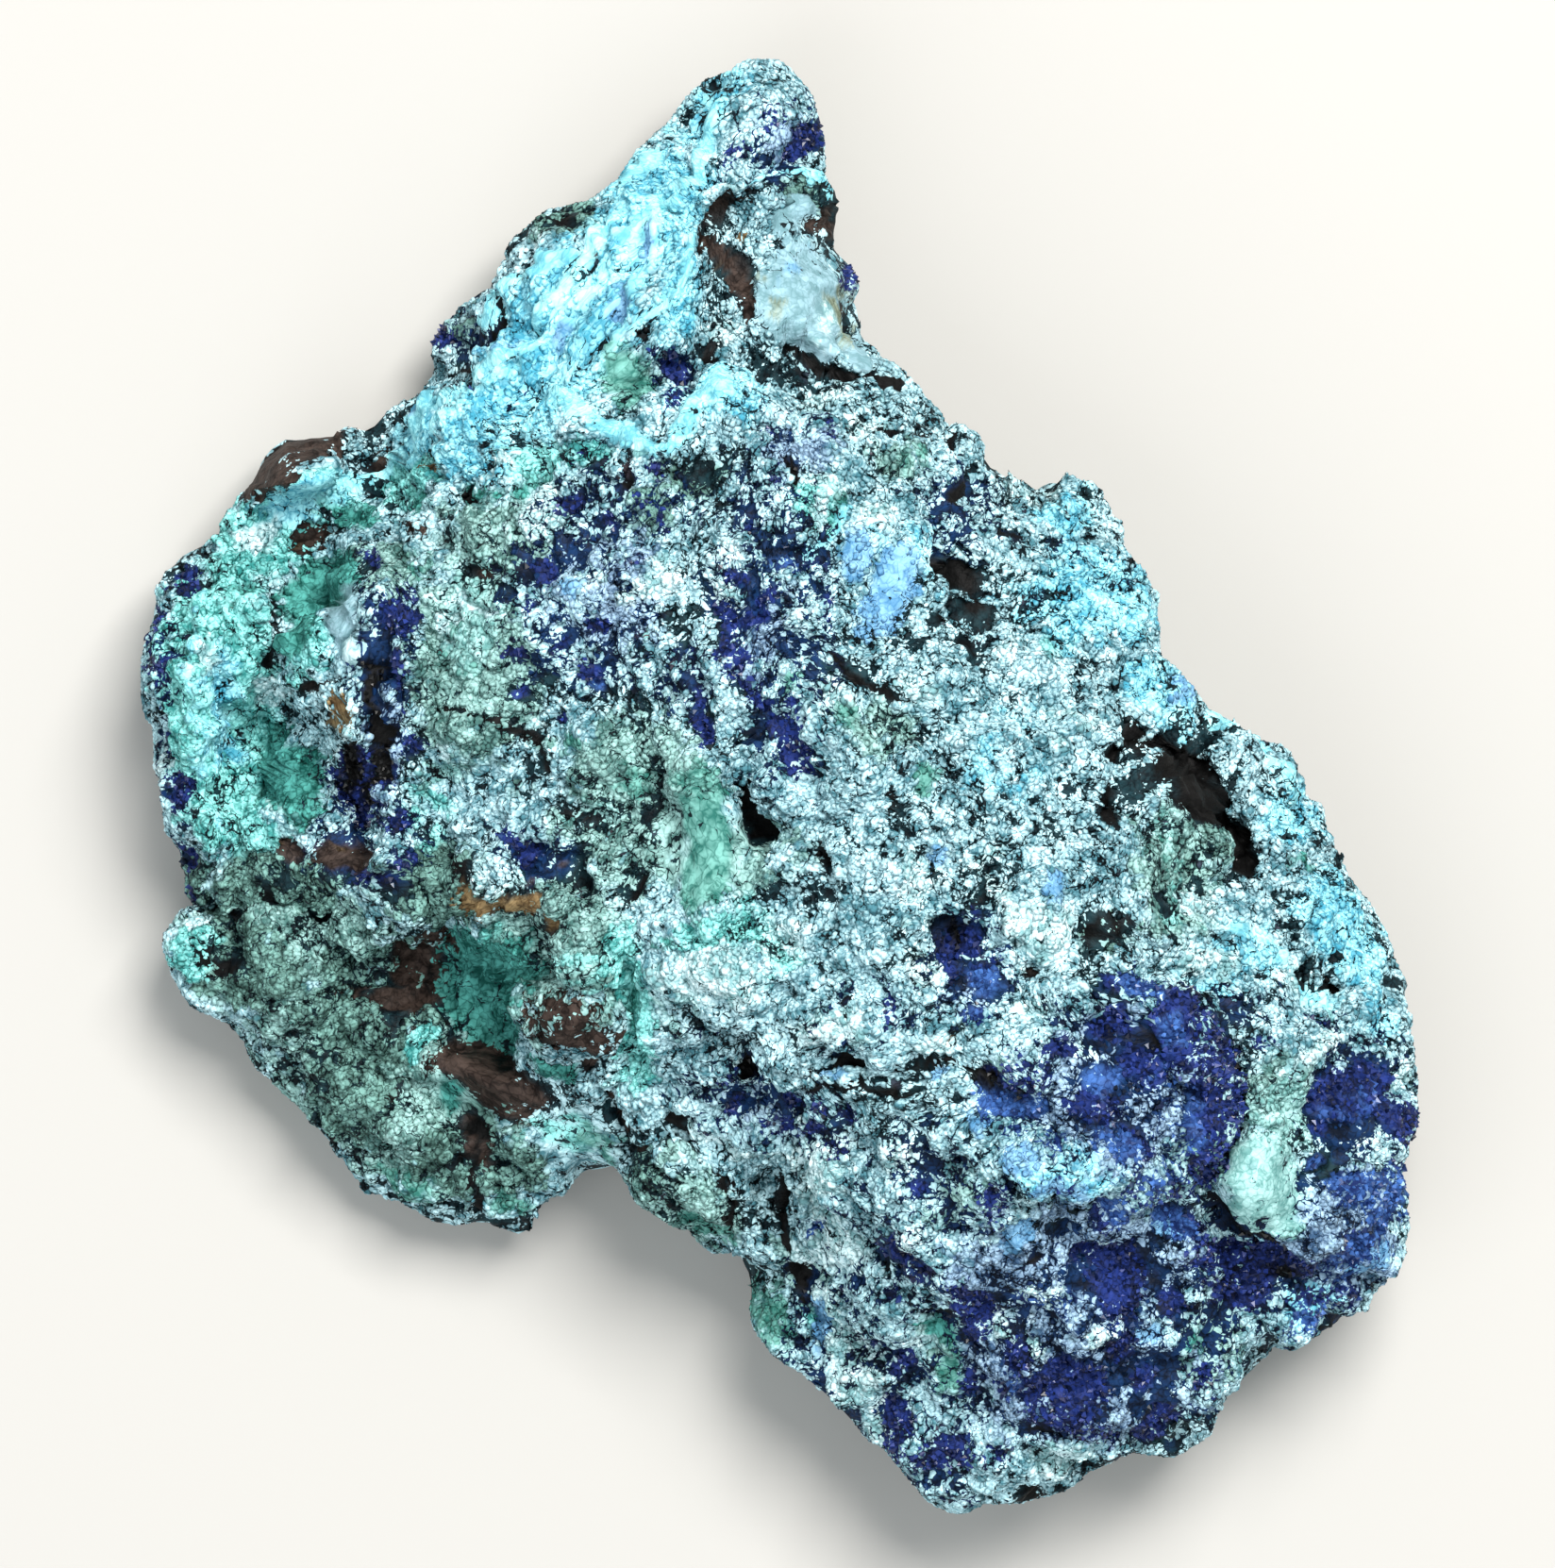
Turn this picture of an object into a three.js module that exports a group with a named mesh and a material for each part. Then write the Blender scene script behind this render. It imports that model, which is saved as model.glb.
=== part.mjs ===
// Azurite and malachite specimen: one broken lump of copper-stained rock, lying on its flattest side.
// The lump is one closed body. Its skin is two sheets that share one rim: the rim is the widest
// outline seen from above, the upper sheet carries the hills, bowls, ridges and ledges, and the
// lower sheet is the rough underside with the worn pads that it rests on.
// Millimetres, +Z up, origin under the middle of the lump at the level of the pads.
import * as THREE from "three";

// ---- Grid of the skin ----
const TOP_CELLS = 60; // cells along one side of the upper sheet's square grid
const BASE_CELLS = TOP_CELLS / 2; // the underside is plainer, so its cells are twice as wide
const RING_CENTRE = [-6, 0]; // the whole rim can be seen from this point
const FLAT_SHARE = 0.68; // share of the rings that are evenly spaced, before the edge starts to roll over
const FLAT_REACH = 0.84; // how far out those rings reach, as a share of the way to the rim

// ---- Edge rounding ----
const BASE_ROLL = 6.5; // width of the band where the underside curves up to the rim
const HEIGHT_REACH = 5.2; // how far each height mark below is felt
const RIM_REACH = 9;

// ---- Rough break ----
const CHUNK = { size: 10, height: 1.5, seed: 11 };
const KNOB = { size: 5.2, height: 0.85, seed: 23 };
const GRIT = { size: 2.3, height: 0.4, seed: 37 };
const RIM_BULGE = 0.3; // how far the roughness may stand out past the rim
const RIM_ROUGHNESS = 0.3; // share of the roughness that is left at the rim
const ROUGH_FADE = 3.5; // distance from the rim at which the roughness is whole
const SMOOTH_ROUGHNESS = 0.2; // share that is left on the smooth faces

// ---- Underside ----
const BASE_HOLLOW = 1.5; // mean height of the underside above the ground, between the pads
const BASE_WAVE = { size: 11, height: 1.2, seed: 51 };
const PAD_DEPTH = 5; // how strongly a pad cuts the underside down to the ground

// The rim, anticlockwise from the right-hand corner of the lower lobe.
const RIM = [
  [39.7, -33.9], [41.6, -31.3], [42.2, -28.3], [41.6, -24.4], [42.4, -20.8], [41.8, -16.0],
  [42.0, -13.1], [40.9, -9.9], [38.7, -6.8], [37.6, -4.7], [36.8, -3.8], [35.5, -0.2],
  [34.8, 1.7], [33.2, 2.7], [32.1, 2.9], [30.0, 4.4], [28.4, 5.0], [26.1, 7.7],
  [25.0, 8.5], [24.9, 11.2], [25.0, 13.0], [23.2, 15.1], [22.8, 17.6], [21.4, 19.6],
  [19.9, 20.5], [19.3, 21.2], [18.7, 20.9], [17.1, 19.6], [14.9, 21.4], [12.6, 23.5],
  [11.4, 23.9], [9.8, 26.1], [7.8, 27.7], [6.7, 28.2], [5.4, 30.2], [4.9, 32.4],
  [5.2, 33.4], [4.9, 34.4], [3.5, 35.9], [3.6, 37.0], [4.0, 39.0], [2.8, 40.7],
  [2.75, 43.0], [2.0, 45.8], [0.7, 47.4], [0.0, 48.0], [-2.0, 48.0], [-2.9, 47.3],
  [-4.5, 46.9], [-6.0, 45.5], [-7.1, 43.9], [-9.1, 42.1], [-10.4, 40.1], [-12.4, 38.6],
  [-15.2, 38.2], [-17.5, 36.3], [-18.7, 34.1], [-20.6, 32.2], [-22.3, 30.7], [-22.7, 29.4],
  [-22.9, 27.6], [-24.1, 26.1], [-26.3, 25.0], [-27.5, 24.1], [-30.4, 23.5], [-32.9, 23.1],
  [-34.5, 21.8], [-35.6, 19.6], [-37.2, 17.1], [-39.9, 15.5], [-41.1, 14.0], [-41.7, 11.4],
  [-42.3, 6.8], [-42.2, 5.4], [-41.5, 4.2], [-41.4, 2.0], [-40.7, -1.0], [-40.4, -3.8],
  [-38.8, -7.9], [-39.7, -8.4], [-40.9, -10.1], [-40.4, -12.0], [-39.0, -14.3], [-36.5, -15.4],
  [-35.3, -17.2], [-34.8, -18.4], [-31.8, -21.0], [-30.1, -23.3], [-28.4, -25.3], [-27.6, -26.6],
  [-25.4, -27.6], [-22.7, -29.0], [-20.1, -29.1], [-17.5, -30.0], [-16.3, -29.7], [-15.7, -28.5],
  [-14.3, -26.4], [-13.0, -25.2], [-10.3, -24.9], [-9.3, -27.1], [-6.9, -28.6], [-5.2, -29.7],
  [-4.2, -30.6], [-3.0, -30.9], [-1.7, -33.2], [-1.3, -35.6], [0.0, -37.4], [1.9, -38.5],
  [4.6, -41.1], [6.2, -42.9], [7.3, -43.5], [9.5, -46.2], [10.4, -47.2], [12.2, -47.9],
  [13.6, -47.1], [16.4, -47.0], [19.1, -46.2], [20.6, -45.0], [23.7, -43.6], [26.3, -44.0],
  [28.6, -42.6], [29.1, -41.2], [30.8, -39.3], [33.0, -36.8], [34.3, -37.2], [37.2, -36.2],
  [38.6, -34.7],
];

// Height of the rim above the ground, as marks of x, y, height.
const RIM_HEIGHTS = [
  [0, 48, 6], [5, 33, 7], [8, 27, 8], [19, 21, 9], [25, 10, 10], [30, 4, 9], [40, -9, 8],
  [42, -22, 10], [38, -35, 9], [28, -43, 8], [12, -48, 6.5], [-2, -34, 7], [-12, -25, 6],
  [-17, -30, 4], [-27, -27, 4], [-40, -10, 5], [-42, 7, 8], [-34, 22, 4], [-23, 28, 5], [-13, 38.5, 6],
];

// Width of the band where the upper sheet rolls down to the rim, as marks of x, y, width.
const TOP_ROLLS = [
  [0, 46, 4], [4, 34, 4], [9, 26, 4.5], [19, 20, 4], [25, 11, 5], [30, 3, 6], [39, -9, 7.5], [42, -22, 7],
  [39, -33, 9], [28, -41, 7], [12, -46, 8], [0, -35, 5.5], [-12, -25, 4], [-18, -29, 5], [-28, -25, 6],
  [-38, -12, 5], [-41, 6, 5], [-33, 22, 2.5], [-23, 28, 3.5], [-13, 38, 5.5],
];

// Height of the upper sheet, as marks of x, y, height, before its bowls and ridges are added.
const HEIGHTS = [
  // the pointed peak and its two flanks
  [-1, 46, 11], [-3, 38, 19], [-8, 31, 24], [-14, 28, 20], [-20, 30, 11], [2, 33, 20], [5, 29, 17],
  [-14, 34, 16], [0, 41, 15], [-7, 41, 14],
  // the broad middle, highest towards the lower right
  [-4, 22, 29], [-14, 18, 26], [6, 14, 32], [0, 5, 33], [12, 20, 24], [19, 17, 16], [22, 10, 22],
  [14, 4, 33], [24, 0, 26], [33, -3, 16], [10, -8, 35], [20, -8, 33], [30, -10, 25], [38, -14, 16],
  [0, -12, 31], [-6, -4, 28], [-14, -3, 24], [-10, 8, 27], [-20, 6, 22], [6, 24, 22],
  // the left lobe
  [-26, 10, 20], [-25, -2, 18], [-33, 12, 17], [-38, 5, 14], [-33, 20, 13], [-27, 21, 16],
  // the lower left lobe, the lowest part of the lump
  [-38, -10, 8], [-32, -8, 13], [-24, -8, 17], [-12, -12, 23], [-8, -20, 20], [-13, -23, 13],
  [-20, -26, 8], [-27, -23, 9], [-34, -14, 9],
  // the lower right lobe
  [0, -22, 27], [10, -20, 33], [20, -22, 34], [29, -18, 30], [32, -27, 27], [38, -24, 21],
  [39, -32, 15], [3, -34, 15], [10, -32, 26], [20, -34, 28], [28, -35, 22], [10, -42, 14],
  [18, -42, 17], [25, -40, 16], [-4, -28, 14],
];

// Bowls (below zero) and knobs (above zero): x, y, half-length, half-width, turn in degrees, height.
const MOUNDS = [
  // left lobe: the wide bowl, its upper pocket, the cavity behind the thin wall, and the round knobs
  [-33.8, 2.5, 7.5, 5.2, 90, -7.5], [-30.8, 13.2, 4.0, 2.4, 80, -3.5], [-30.8, 16.7, 1.8, 1.5, 0, -2.0],
  [-28.2, -1.0, 4.2, 2.4, 110, -4.0], [-34.8, 11.8, 2.0, 1.9, 0, 1.7], [-28.2, 11.7, 1.6, 1.3, 90, 1.4],
  [-27.4, 8.4, 2.2, 1.1, 100, 1.1],
  // lower left lobe: two joined bowls, the broken block and the flat slab in them
  [-19.8, -12.6, 7.0, 6.0, -30, -7.5], [-26.0, -12.5, 5.2, 4.2, 0, -4.5], [-18.0, -16.8, 3.4, 2.8, 0, -2.5],
  [-13.6, -14.8, 2.9, 1.6, 0, 3.2], [-19.4, -19.4, 4.6, 1.9, -24, 2.6], [-39.3, -10.0, 2.2, 1.8, 0, 1.2],
  // right side: the black cavity and the pits beside it
  [26.2, 2.0, 3.8, 2.3, -25, -4.6], [29.8, -2.4, 3.5, 1.9, 105, -4.2], [22.2, 2.8, 1.5, 1.2, 0, -1.8],
  [21.2, -1.5, 1.4, 1.2, 0, -1.8], [36.8, -13.3, 2.2, 1.4, -15, -2.4], [33.4, -6.5, 4.0, 2.4, 120, 1.4],
  // middle: pits, saucers and the pale swellings
  [12.0, 14.2, 2.3, 1.5, 0, -2.2], [11.8, 11.2, 2.8, 1.7, 0, -1.8], [0.6, 18.8, 1.8, 1.5, 0, -2.2],
  [-20.2, 18.8, 1.6, 1.3, 0, -1.6], [-2.0, -17.8, 1.7, 1.3, 0, -2.0], [7.0, 13.3, 3.4, 3.2, 0, -0.9],
  [1.6, 16.6, 2.6, 1.3, 15, 1.2], [-4.0, -12.5, 5.0, 3.4, 10, 1.8], [3.2, -15.0, 4.2, 2.2, 5, 1.4],
  [8.8, -10.5, 2.8, 3.0, 0, 1.2], [16.3, -8.0, 3.2, 2.8, 0, 1.3], [1.0, 3.0, 2.6, 1.6, 110, -1.0],
  // peak: the pocket right of the tip, the stained hollows, the trough above the curved crest
  [3.0, 37.6, 1.9, 1.6, 90, -1.8], [-3.4, 37.6, 2.6, 1.4, 20, -1.5], [-3.0, 34.3, 2.8, 1.4, 110, -1.6],
  [-7.0, 26.3, 4.2, 2.6, 0, -1.8], [-22.0, 30.0, 2.0, 1.7, 0, 1.6], [19.0, 19.6, 2.4, 2.0, 0, 1.6],
  // lower right lobe: the pale green knob, the pale and turquoise swellings, the hollow under the knob
  [31.8, -26.2, 4.2, 3.2, 100, 2.4], [18.5, -24.5, 4.6, 3.2, -10, 1.3], [5.0, -39.0, 3.2, 2.2, -50, 1.7],
  [18.6, -43.4, 3.0, 2.0, 15, 1.2], [17.5, -32.5, 3.2, 2.6, 0, 1.2], [31.5, -31.5, 3.2, 1.7, 0, -2.0],
  [38.2, -28.5, 4.0, 4.0, 0, 1.5], [16.8, -12.2, 1.9, 1.6, 0, -1.3], [24.5, -18.5, 3.0, 2.4, -30, -1.3],
];

// Ridges (above zero) and clefts (below zero): half-width, height, then the line that each follows.
const SEAMS = [
  // spine of the peak, the bright curved crest, the ledge right of the tip
  [4.0, 2.2, [[-0.5, 46], [-3.5, 40], [-6.5, 35], [-9, 30], [-13, 25.5]]],
  [2.0, 1.6, [[-20, 24], [-15.5, 24], [-12, 23], [-10, 22], [-8, 21.7], [-6, 23], [-5, 24.5], [-1, 25]]],
  [1.6, 1.3, [[-6, 39.4], [-1.8, 39.6], [0.8, 40.8], [3.4, 39.4]]],
  // left lobe: outer rim, thin pale wall across the bowl, the wall that carries the blue band
  [3.0, 1.8, [[-37.5, 16], [-39.3, 9], [-39, 3], [-38.3, -2]]],
  [1.5, 2.6, [[-27.6, 5.6], [-29, 3], [-30.5, 0.8], [-31.5, -0.6], [-32.5, -2], [-34.2, -2.8]]],
  [2.3, 2.4, [[-27.2, 17], [-26.2, 13], [-25, 9], [-24.8, 3], [-25.4, -2], [-25, -6.5]]],
  // lower left lobe: the rim round the bowls and the stained arc above them
  [2.6, 2.0, [[-33.5, -11], [-31.5, -17.5], [-26, -22], [-21.5, -24.5]]],
  [1.6, 1.8, [[-20.5, -4.6], [-17.5, -5], [-15.4, -6.6], [-13.4, -8.6], [-12.6, -11.5]]],
  // middle and right: the green tongue, the fan of fibres, the blue band
  [2.7, 1.5, [[-5, 2], [-4.6, -3], [-4.3, -8]]],
  [3.2, 1.3, [[24.2, 0], [25.2, -5], [26.4, -10]]],
  [2.4, 1.4, [[22.5, -12], [27, -15], [28.8, -20], [27.8, -23.5]]],
  // clefts: left flank of the peak, under the smooth face, beside the tongue, behind the corner nub
  [1.4, -1.6, [[-17.5, 31.8], [-19.3, 30], [-20.5, 28.3], [-22, 26.8], [-23, 25], [-24.5, 23]]],
  [1.5, -2.0, [[0.5, 29.3], [2, 28], [4, 27], [6, 26.6], [8, 25.8]]],
  [1.3, -3.0, [[-2.1, 0.8], [-1.6, -1.5], [-0.5, -3.6]]],
  [1.5, -1.9, [[-37.8, -7.8], [-33, -7.2], [-29, -8]]],
  [1.3, -1.6, [[-33, 12.6], [-33.3, 8.2]]],
  // clefts of the lower half
  [1.5, -2.0, [[-0.5, -26], [0, -29], [1, -31], [2, -34.5]]],
  [1.4, -2.6, [[29.6, -17], [30.3, -20], [30, -23], [28.2, -25.2], [28.6, -27.8], [29.6, -30.2]]],
  [1.6, -1.5, [[-11, -19.6], [-9, -22.5], [-5, -25], [-1.5, -27.5]]],
  [1.1, -1.3, [[2, -17.8], [5, -17.4], [8, -17.9], [12, -17.5], [15, -18]]],
  [1.1, -1.3, [[10, -9.3], [12.5, -9.6], [15, -9.9]]],
];

// Ledges: the drop, its width, how far the lower side stays down, then the line of the edge.
// The lower side lies on the left of the line as it is followed.
const LEDGES = [
  [6.5, 1.4, 9, [[-28.4, 25.5], [-29.2, 22.3], [-30, 20.7], [-32, 20.1], [-34, 20], [-38, 17.6]]],
  [2.6, 1.6, 7, [[-24.5, 23], [-23, 25], [-20.5, 28.3], [-19.3, 30], [-17, 32.4], [-14.5, 36.5]]],
  [1.4, 1.2, 5, [[9, 25], [6, 27], [4, 27.4], [2, 28.3], [-0.5, 30.5]]],
  [1.3, 1.2, 4, [[4.4, 38.6], [0.8, 40.2], [-1.8, 39.2], [-6, 39]]],
  [1.3, 1.3, 5, [[15.5, -17.8], [12, -17.2], [8, -17.6], [5, -17.1], [1, -17.8]]],
  [2.2, 1.5, 6, [[-9.5, -20], [-8, -23], [-4.5, -25.4], [-0.5, -28.4], [1.6, -35]]],
];

// Smooth faces: x, y, radius.
const SMOOTH_FACES = [
  [2.4, 33, 4], [-4.6, -3.5, 3.6], [-33, 21.8, 4], [-13, -23, 3], [31.8, -26.5, 3], [-19.4, -19.4, 3.4],
];

// Worn pads of the underside: x, y, radius.
const PADS = [
  [4, -6, 10], [-30, 4, 6], [-25, -17, 6], [14, -35, 7], [31, -20, 6.5], [15, 10, 6], [-7, 28, 5.5],
];

const smooth = (v) => {
  const c = THREE.MathUtils.clamp(v, 0, 1);
  return c * c * (3 - 2 * c);
};

// Distance from (x, y) to a line of points, and whether the point lies on its left.
function nearLine(points, x, y) {
  let best = Infinity;
  let left = false;
  for (let i = 0; i + 1 < points.length; i++) {
    const [ax, ay] = points[i];
    const dx = points[i + 1][0] - ax;
    const dy = points[i + 1][1] - ay;
    const along = THREE.MathUtils.clamp(((x - ax) * dx + (y - ay) * dy) / (dx * dx + dy * dy), 0, 1);
    const d = Math.hypot(x - ax - along * dx, y - ay - along * dy);
    if (d < best) {
      best = d;
      left = dx * (y - ay) - dy * (x - ax) > 0;
    }
  }
  return [best, left];
}

// Mean of the marks' heights, each weighted by a bell curve of its distance.
function heightFrom(marks, reach, x, y) {
  let sum = 0;
  let weights = 1e-9;
  for (const [mx, my, height] of marks) {
    const w = Math.exp(-((x - mx) ** 2 + (y - my) ** 2) / (2 * reach * reach)) + 1e-7;
    sum += w * height;
    weights += w;
  }
  return sum / weights;
}

// A number from 0 to 1 for each whole-numbered place, always the same for the same place.
function scatter(ix, iy, iz, seed) {
  let h = Math.imul(ix, 374761393) + Math.imul(iy, 668265263) + Math.imul(iz, 1440662683) + seed * 974711;
  h = Math.imul(h ^ (h >>> 13), 1274126177);
  h = Math.imul(h ^ (h >>> 15), 2246822519);
  return ((h ^ (h >>> 16)) >>> 0) / 4294967296;
}

// Smooth waves between -1 and 1 that pass through the scattered numbers.
function waves({ size, seed }, x, y, z) {
  const cell = [x, y, z].map((v) => Math.floor(v / size));
  const part = [x, y, z].map((v, k) => smooth(v / size - cell[k]));
  let sum = 0;
  for (let corner = 0; corner < 8; corner++) {
    const step = [corner & 1, (corner >> 1) & 1, corner >> 2];
    const weight = step.reduce((w, s, k) => w * (s ? part[k] : 1 - part[k]), 1);
    sum += weight * scatter(cell[0] + step[0], cell[1] + step[1], cell[2] + step[2], seed);
  }
  return 2 * sum - 1;
}

// Rounded knobs packed side by side, from 1 on a knob's crown down to -1 in the creases between them.
function knobs({ size, seed }, x, y, z) {
  const [u, v, w] = [x, y, z].map((c) => c / size);
  let nearest = Infinity;
  for (let k = 0; k < 27; k++) {
    const i = Math.floor(u) + (k % 3) - 1;
    const j = Math.floor(v) + (Math.floor(k / 3) % 3) - 1;
    const l = Math.floor(w) + Math.floor(k / 9) - 1;
    const du = i + scatter(i, j, l, seed) - u;
    const dv = j + scatter(i, j, l, seed + 1) - v;
    const dw = l + scatter(i, j, l, seed + 2) - w;
    nearest = Math.min(nearest, du * du + dv * dv + dw * dw);
  }
  return Math.max(-1, 1 - 3 * nearest);
}

// Everything that stands up from or is sunk into the upper sheet.
function relief(x, y) {
  let z = 0;
  for (const [mx, my, long, wide, turn, height] of MOUNDS) {
    const a = THREE.MathUtils.degToRad(turn);
    const u = ((x - mx) * Math.cos(a) + (y - my) * Math.sin(a)) / long;
    const v = ((y - my) * Math.cos(a) - (x - mx) * Math.sin(a)) / wide;
    z += height * Math.max(0, 1 - u * u - v * v) ** 1.5;
  }
  for (const [halfWidth, height, line] of SEAMS) {
    const [d] = nearLine(line, x, y);
    z += height * Math.max(0, 1 - (d / halfWidth) ** 2) ** 1.5;
  }
  for (const [drop, width, reach, line] of LEDGES) {
    const [d, lower] = nearLine(line, x, y);
    if (lower) z -= drop * smooth(d / width) * (1 - smooth((d - width) / reach));
  }
  return z;
}

const closedRim = [...RIM, RIM[0]];
const rimSteps = [0];
for (let i = 0; i < RIM.length; i++) {
  const [a, b] = [closedRim[i], closedRim[i + 1]];
  rimSteps.push(rimSteps[i] + Math.hypot(b[0] - a[0], b[1] - a[1]));
}

// The point of the rim at a share of its length.
function rimAt(share) {
  const want = share * rimSteps[RIM.length];
  const i = Math.min(rimSteps.findIndex((s) => s > want + 1e-9), RIM.length) - 1;
  const at = i < 0 ? RIM.length - 1 : i;
  const part = (want - rimSteps[at]) / (rimSteps[at + 1] - rimSteps[at]);
  const [a, b] = [closedRim[at], closedRim[at + 1]];
  return [a[0] + part * (b[0] - a[0]), a[1] + part * (b[1] - a[1])];
}

// Where a corner of the square grid lies in plan: squares of the grid become rings inside the rim.
function planPoint(i, j, cells) {
  const half = cells / 2;
  const a = i - half;
  const b = j - half;
  const ring = Math.max(Math.abs(a), Math.abs(b));
  if (ring === 0) return [...RING_CENTRE];
  let share;
  if (a === ring && b < ring) share = (b / ring + 1) / 8;
  else if (b === ring && a > -ring) share = 0.25 + (1 - a / ring) / 8;
  else if (a === -ring && b > -ring) share = 0.5 + (1 - b / ring) / 8;
  else share = 0.75 + (a / ring + 1) / 8;
  const s = ring / half;
  const roll = (Math.PI / 2) * ((1 - s) / (1 - FLAT_SHARE));
  let out = (s / FLAT_SHARE) * FLAT_REACH;
  if (s > FLAT_SHARE) out = 1 - (1 - FLAT_REACH) * (1 - Math.cos(roll));
  const [x, y] = rimAt(share % 1);
  return [RING_CENTRE[0] + out * (x - RING_CENTRE[0]), RING_CENTRE[1] + out * (y - RING_CENTRE[1])];
}

// Rises from 0 at the rim to 1 where the rounded edge ends, as a quarter of an ellipse.
const rollOver = (d, width) => Math.sqrt(1 - (1 - Math.min(d / width, 1)) ** 2);

function topHeight(x, y) {
  const [d] = nearLine(closedRim, x, y);
  const rim = heightFrom(RIM_HEIGHTS, RIM_REACH, x, y);
  const hill = heightFrom(HEIGHTS, HEIGHT_REACH, x, y);
  const roll = heightFrom(TOP_ROLLS, RIM_REACH, x, y);
  return rim + (hill + relief(x, y) - rim) * rollOver(d, roll);
}

function baseHeight(x, y) {
  const [d] = nearLine(closedRim, x, y);
  const rim = heightFrom(RIM_HEIGHTS, RIM_REACH, x, y);
  let floor = BASE_HOLLOW + BASE_WAVE.height * waves(BASE_WAVE, x, y, 0);
  for (const [px, py, r] of PADS) floor -= PAD_DEPTH * Math.max(0, 1 - Math.hypot(x - px, y - py) / r);
  return rim + (floor - rim) * rollOver(d, BASE_ROLL);
}

// How far the rough break stands out at a place of the skin: less at the rim and on the smooth
// faces, and never far enough to hide the rim from above.
function roughness({ x, y, z }, onTop) {
  const [d] = nearLine(closedRim, x, y);
  const rise = Math.abs(z - heightFrom(RIM_HEIGHTS, RIM_REACH, x, y));
  let share = RIM_ROUGHNESS + (1 - RIM_ROUGHNESS) * smooth(Math.hypot(d, rise) / ROUGH_FADE);
  if (onTop) {
    for (const [fx, fy, r] of SMOOTH_FACES) {
      share *= 1 - (1 - SMOOTH_ROUGHNESS) * (1 - smooth(Math.hypot(x - fx, y - fy) / r - 0.4));
    }
  }
  let rough = CHUNK.height * waves(CHUNK, x, y, z) + KNOB.height * knobs(KNOB, x, y, z);
  if (onTop) rough += GRIT.height * waves(GRIT, x, y, z);
  return Math.min(rough * share, d + RIM_BULGE);
}

// The closed skin as vertices and triangles: the upper sheet, and the underside hung on the same rim.
function buildSkin() {
  const points = [];
  const triangles = [];
  const topIndex = (i, j) => i * (TOP_CELLS + 1) + j;
  for (let i = 0; i <= TOP_CELLS; i++) {
    for (let j = 0; j <= TOP_CELLS; j++) {
      const [x, y] = planPoint(i, j, TOP_CELLS);
      points.push([x, y, topHeight(x, y)]);
    }
  }
  const baseStart = points.length;
  const atEnd = (k) => k === 0 || k === BASE_CELLS;
  const baseIndex = [];
  for (let i = 0; i <= BASE_CELLS; i++) {
    baseIndex.push([]);
    for (let j = 0; j <= BASE_CELLS; j++) {
      if (atEnd(i) || atEnd(j)) {
        baseIndex[i].push(topIndex(2 * i, 2 * j));
        continue;
      }
      const [x, y] = planPoint(i, j, BASE_CELLS);
      baseIndex[i].push(points.length);
      points.push([x, y, baseHeight(x, y)]);
    }
  }
  // Each cell is split along the diagonal that points away from the middle.
  const outward = (i, j, cells) => (i + 0.5 - cells / 2) * (j + 0.5 - cells / 2) > 0;
  for (let i = 0; i < TOP_CELLS; i++) {
    for (let j = 0; j < TOP_CELLS; j++) {
      const [a, b] = [topIndex(i, j), topIndex(i + 1, j)];
      const [c, d] = [topIndex(i + 1, j + 1), topIndex(i, j + 1)];
      if (outward(i, j, TOP_CELLS)) triangles.push([a, b, c], [a, c, d]);
      else triangles.push([b, c, d], [b, d, a]);
    }
  }
  // A cell of the underside is a fan from its innermost corner, so that it can take in the rim's
  // in-between points, which only the upper sheet's finer grid has.
  const corners = [[0, 0], [1, 0], [1, 1], [0, 1]];
  for (let i = 0; i < BASE_CELLS; i++) {
    for (let j = 0; j < BASE_CELLS; j++) {
      const innerU = 2 * i < BASE_CELLS ? 1 : 0;
      const innerV = 2 * j < BASE_CELLS ? 1 : 0;
      const inner = corners.findIndex(([u, v]) => u === innerU && v === innerV);
      const fan = [];
      for (let k = 0; k < 4; k++) {
        const [u, v] = corners[(inner + k) % 4];
        const [p, q] = corners[(inner + k + 1) % 4];
        fan.push(baseIndex[i + u][j + v]);
        const edgeOnRim = (u === p && atEnd(i + u)) || (v === q && atEnd(j + v));
        if (edgeOnRim) fan.push(topIndex(2 * i + u + p, 2 * j + v + q));
      }
      for (let k = 1; k + 1 < fan.length; k++) triangles.push([fan[0], fan[k + 1], fan[k]]);
    }
  }
  return { points, triangles, baseStart };
}

// Pushes the skin in and out along its own direction, levels the pads, and centres the lump.
function stoneGeometry() {
  const { points, triangles, baseStart } = buildSkin();
  const geometry = new THREE.BufferGeometry();
  geometry.setAttribute("position", new THREE.Float32BufferAttribute(points.flat(), 3));
  geometry.setIndex(triangles.flat());
  geometry.computeVertexNormals();
  const { position, normal } = geometry.attributes;
  const p = new THREE.Vector3();
  const n = new THREE.Vector3();
  for (let i = 0; i < position.count; i++) {
    p.fromBufferAttribute(position, i);
    n.fromBufferAttribute(normal, i);
    p.addScaledVector(n, roughness(p, i < baseStart));
    position.setXYZ(i, p.x, p.y, Math.max(0, p.z));
  }
  geometry.computeBoundingBox();
  const middle = geometry.boundingBox.getCenter(new THREE.Vector3());
  geometry.translate(-middle.x, -middle.y, -geometry.boundingBox.min.z);
  geometry.computeVertexNormals();
  return geometry;
}

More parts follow.
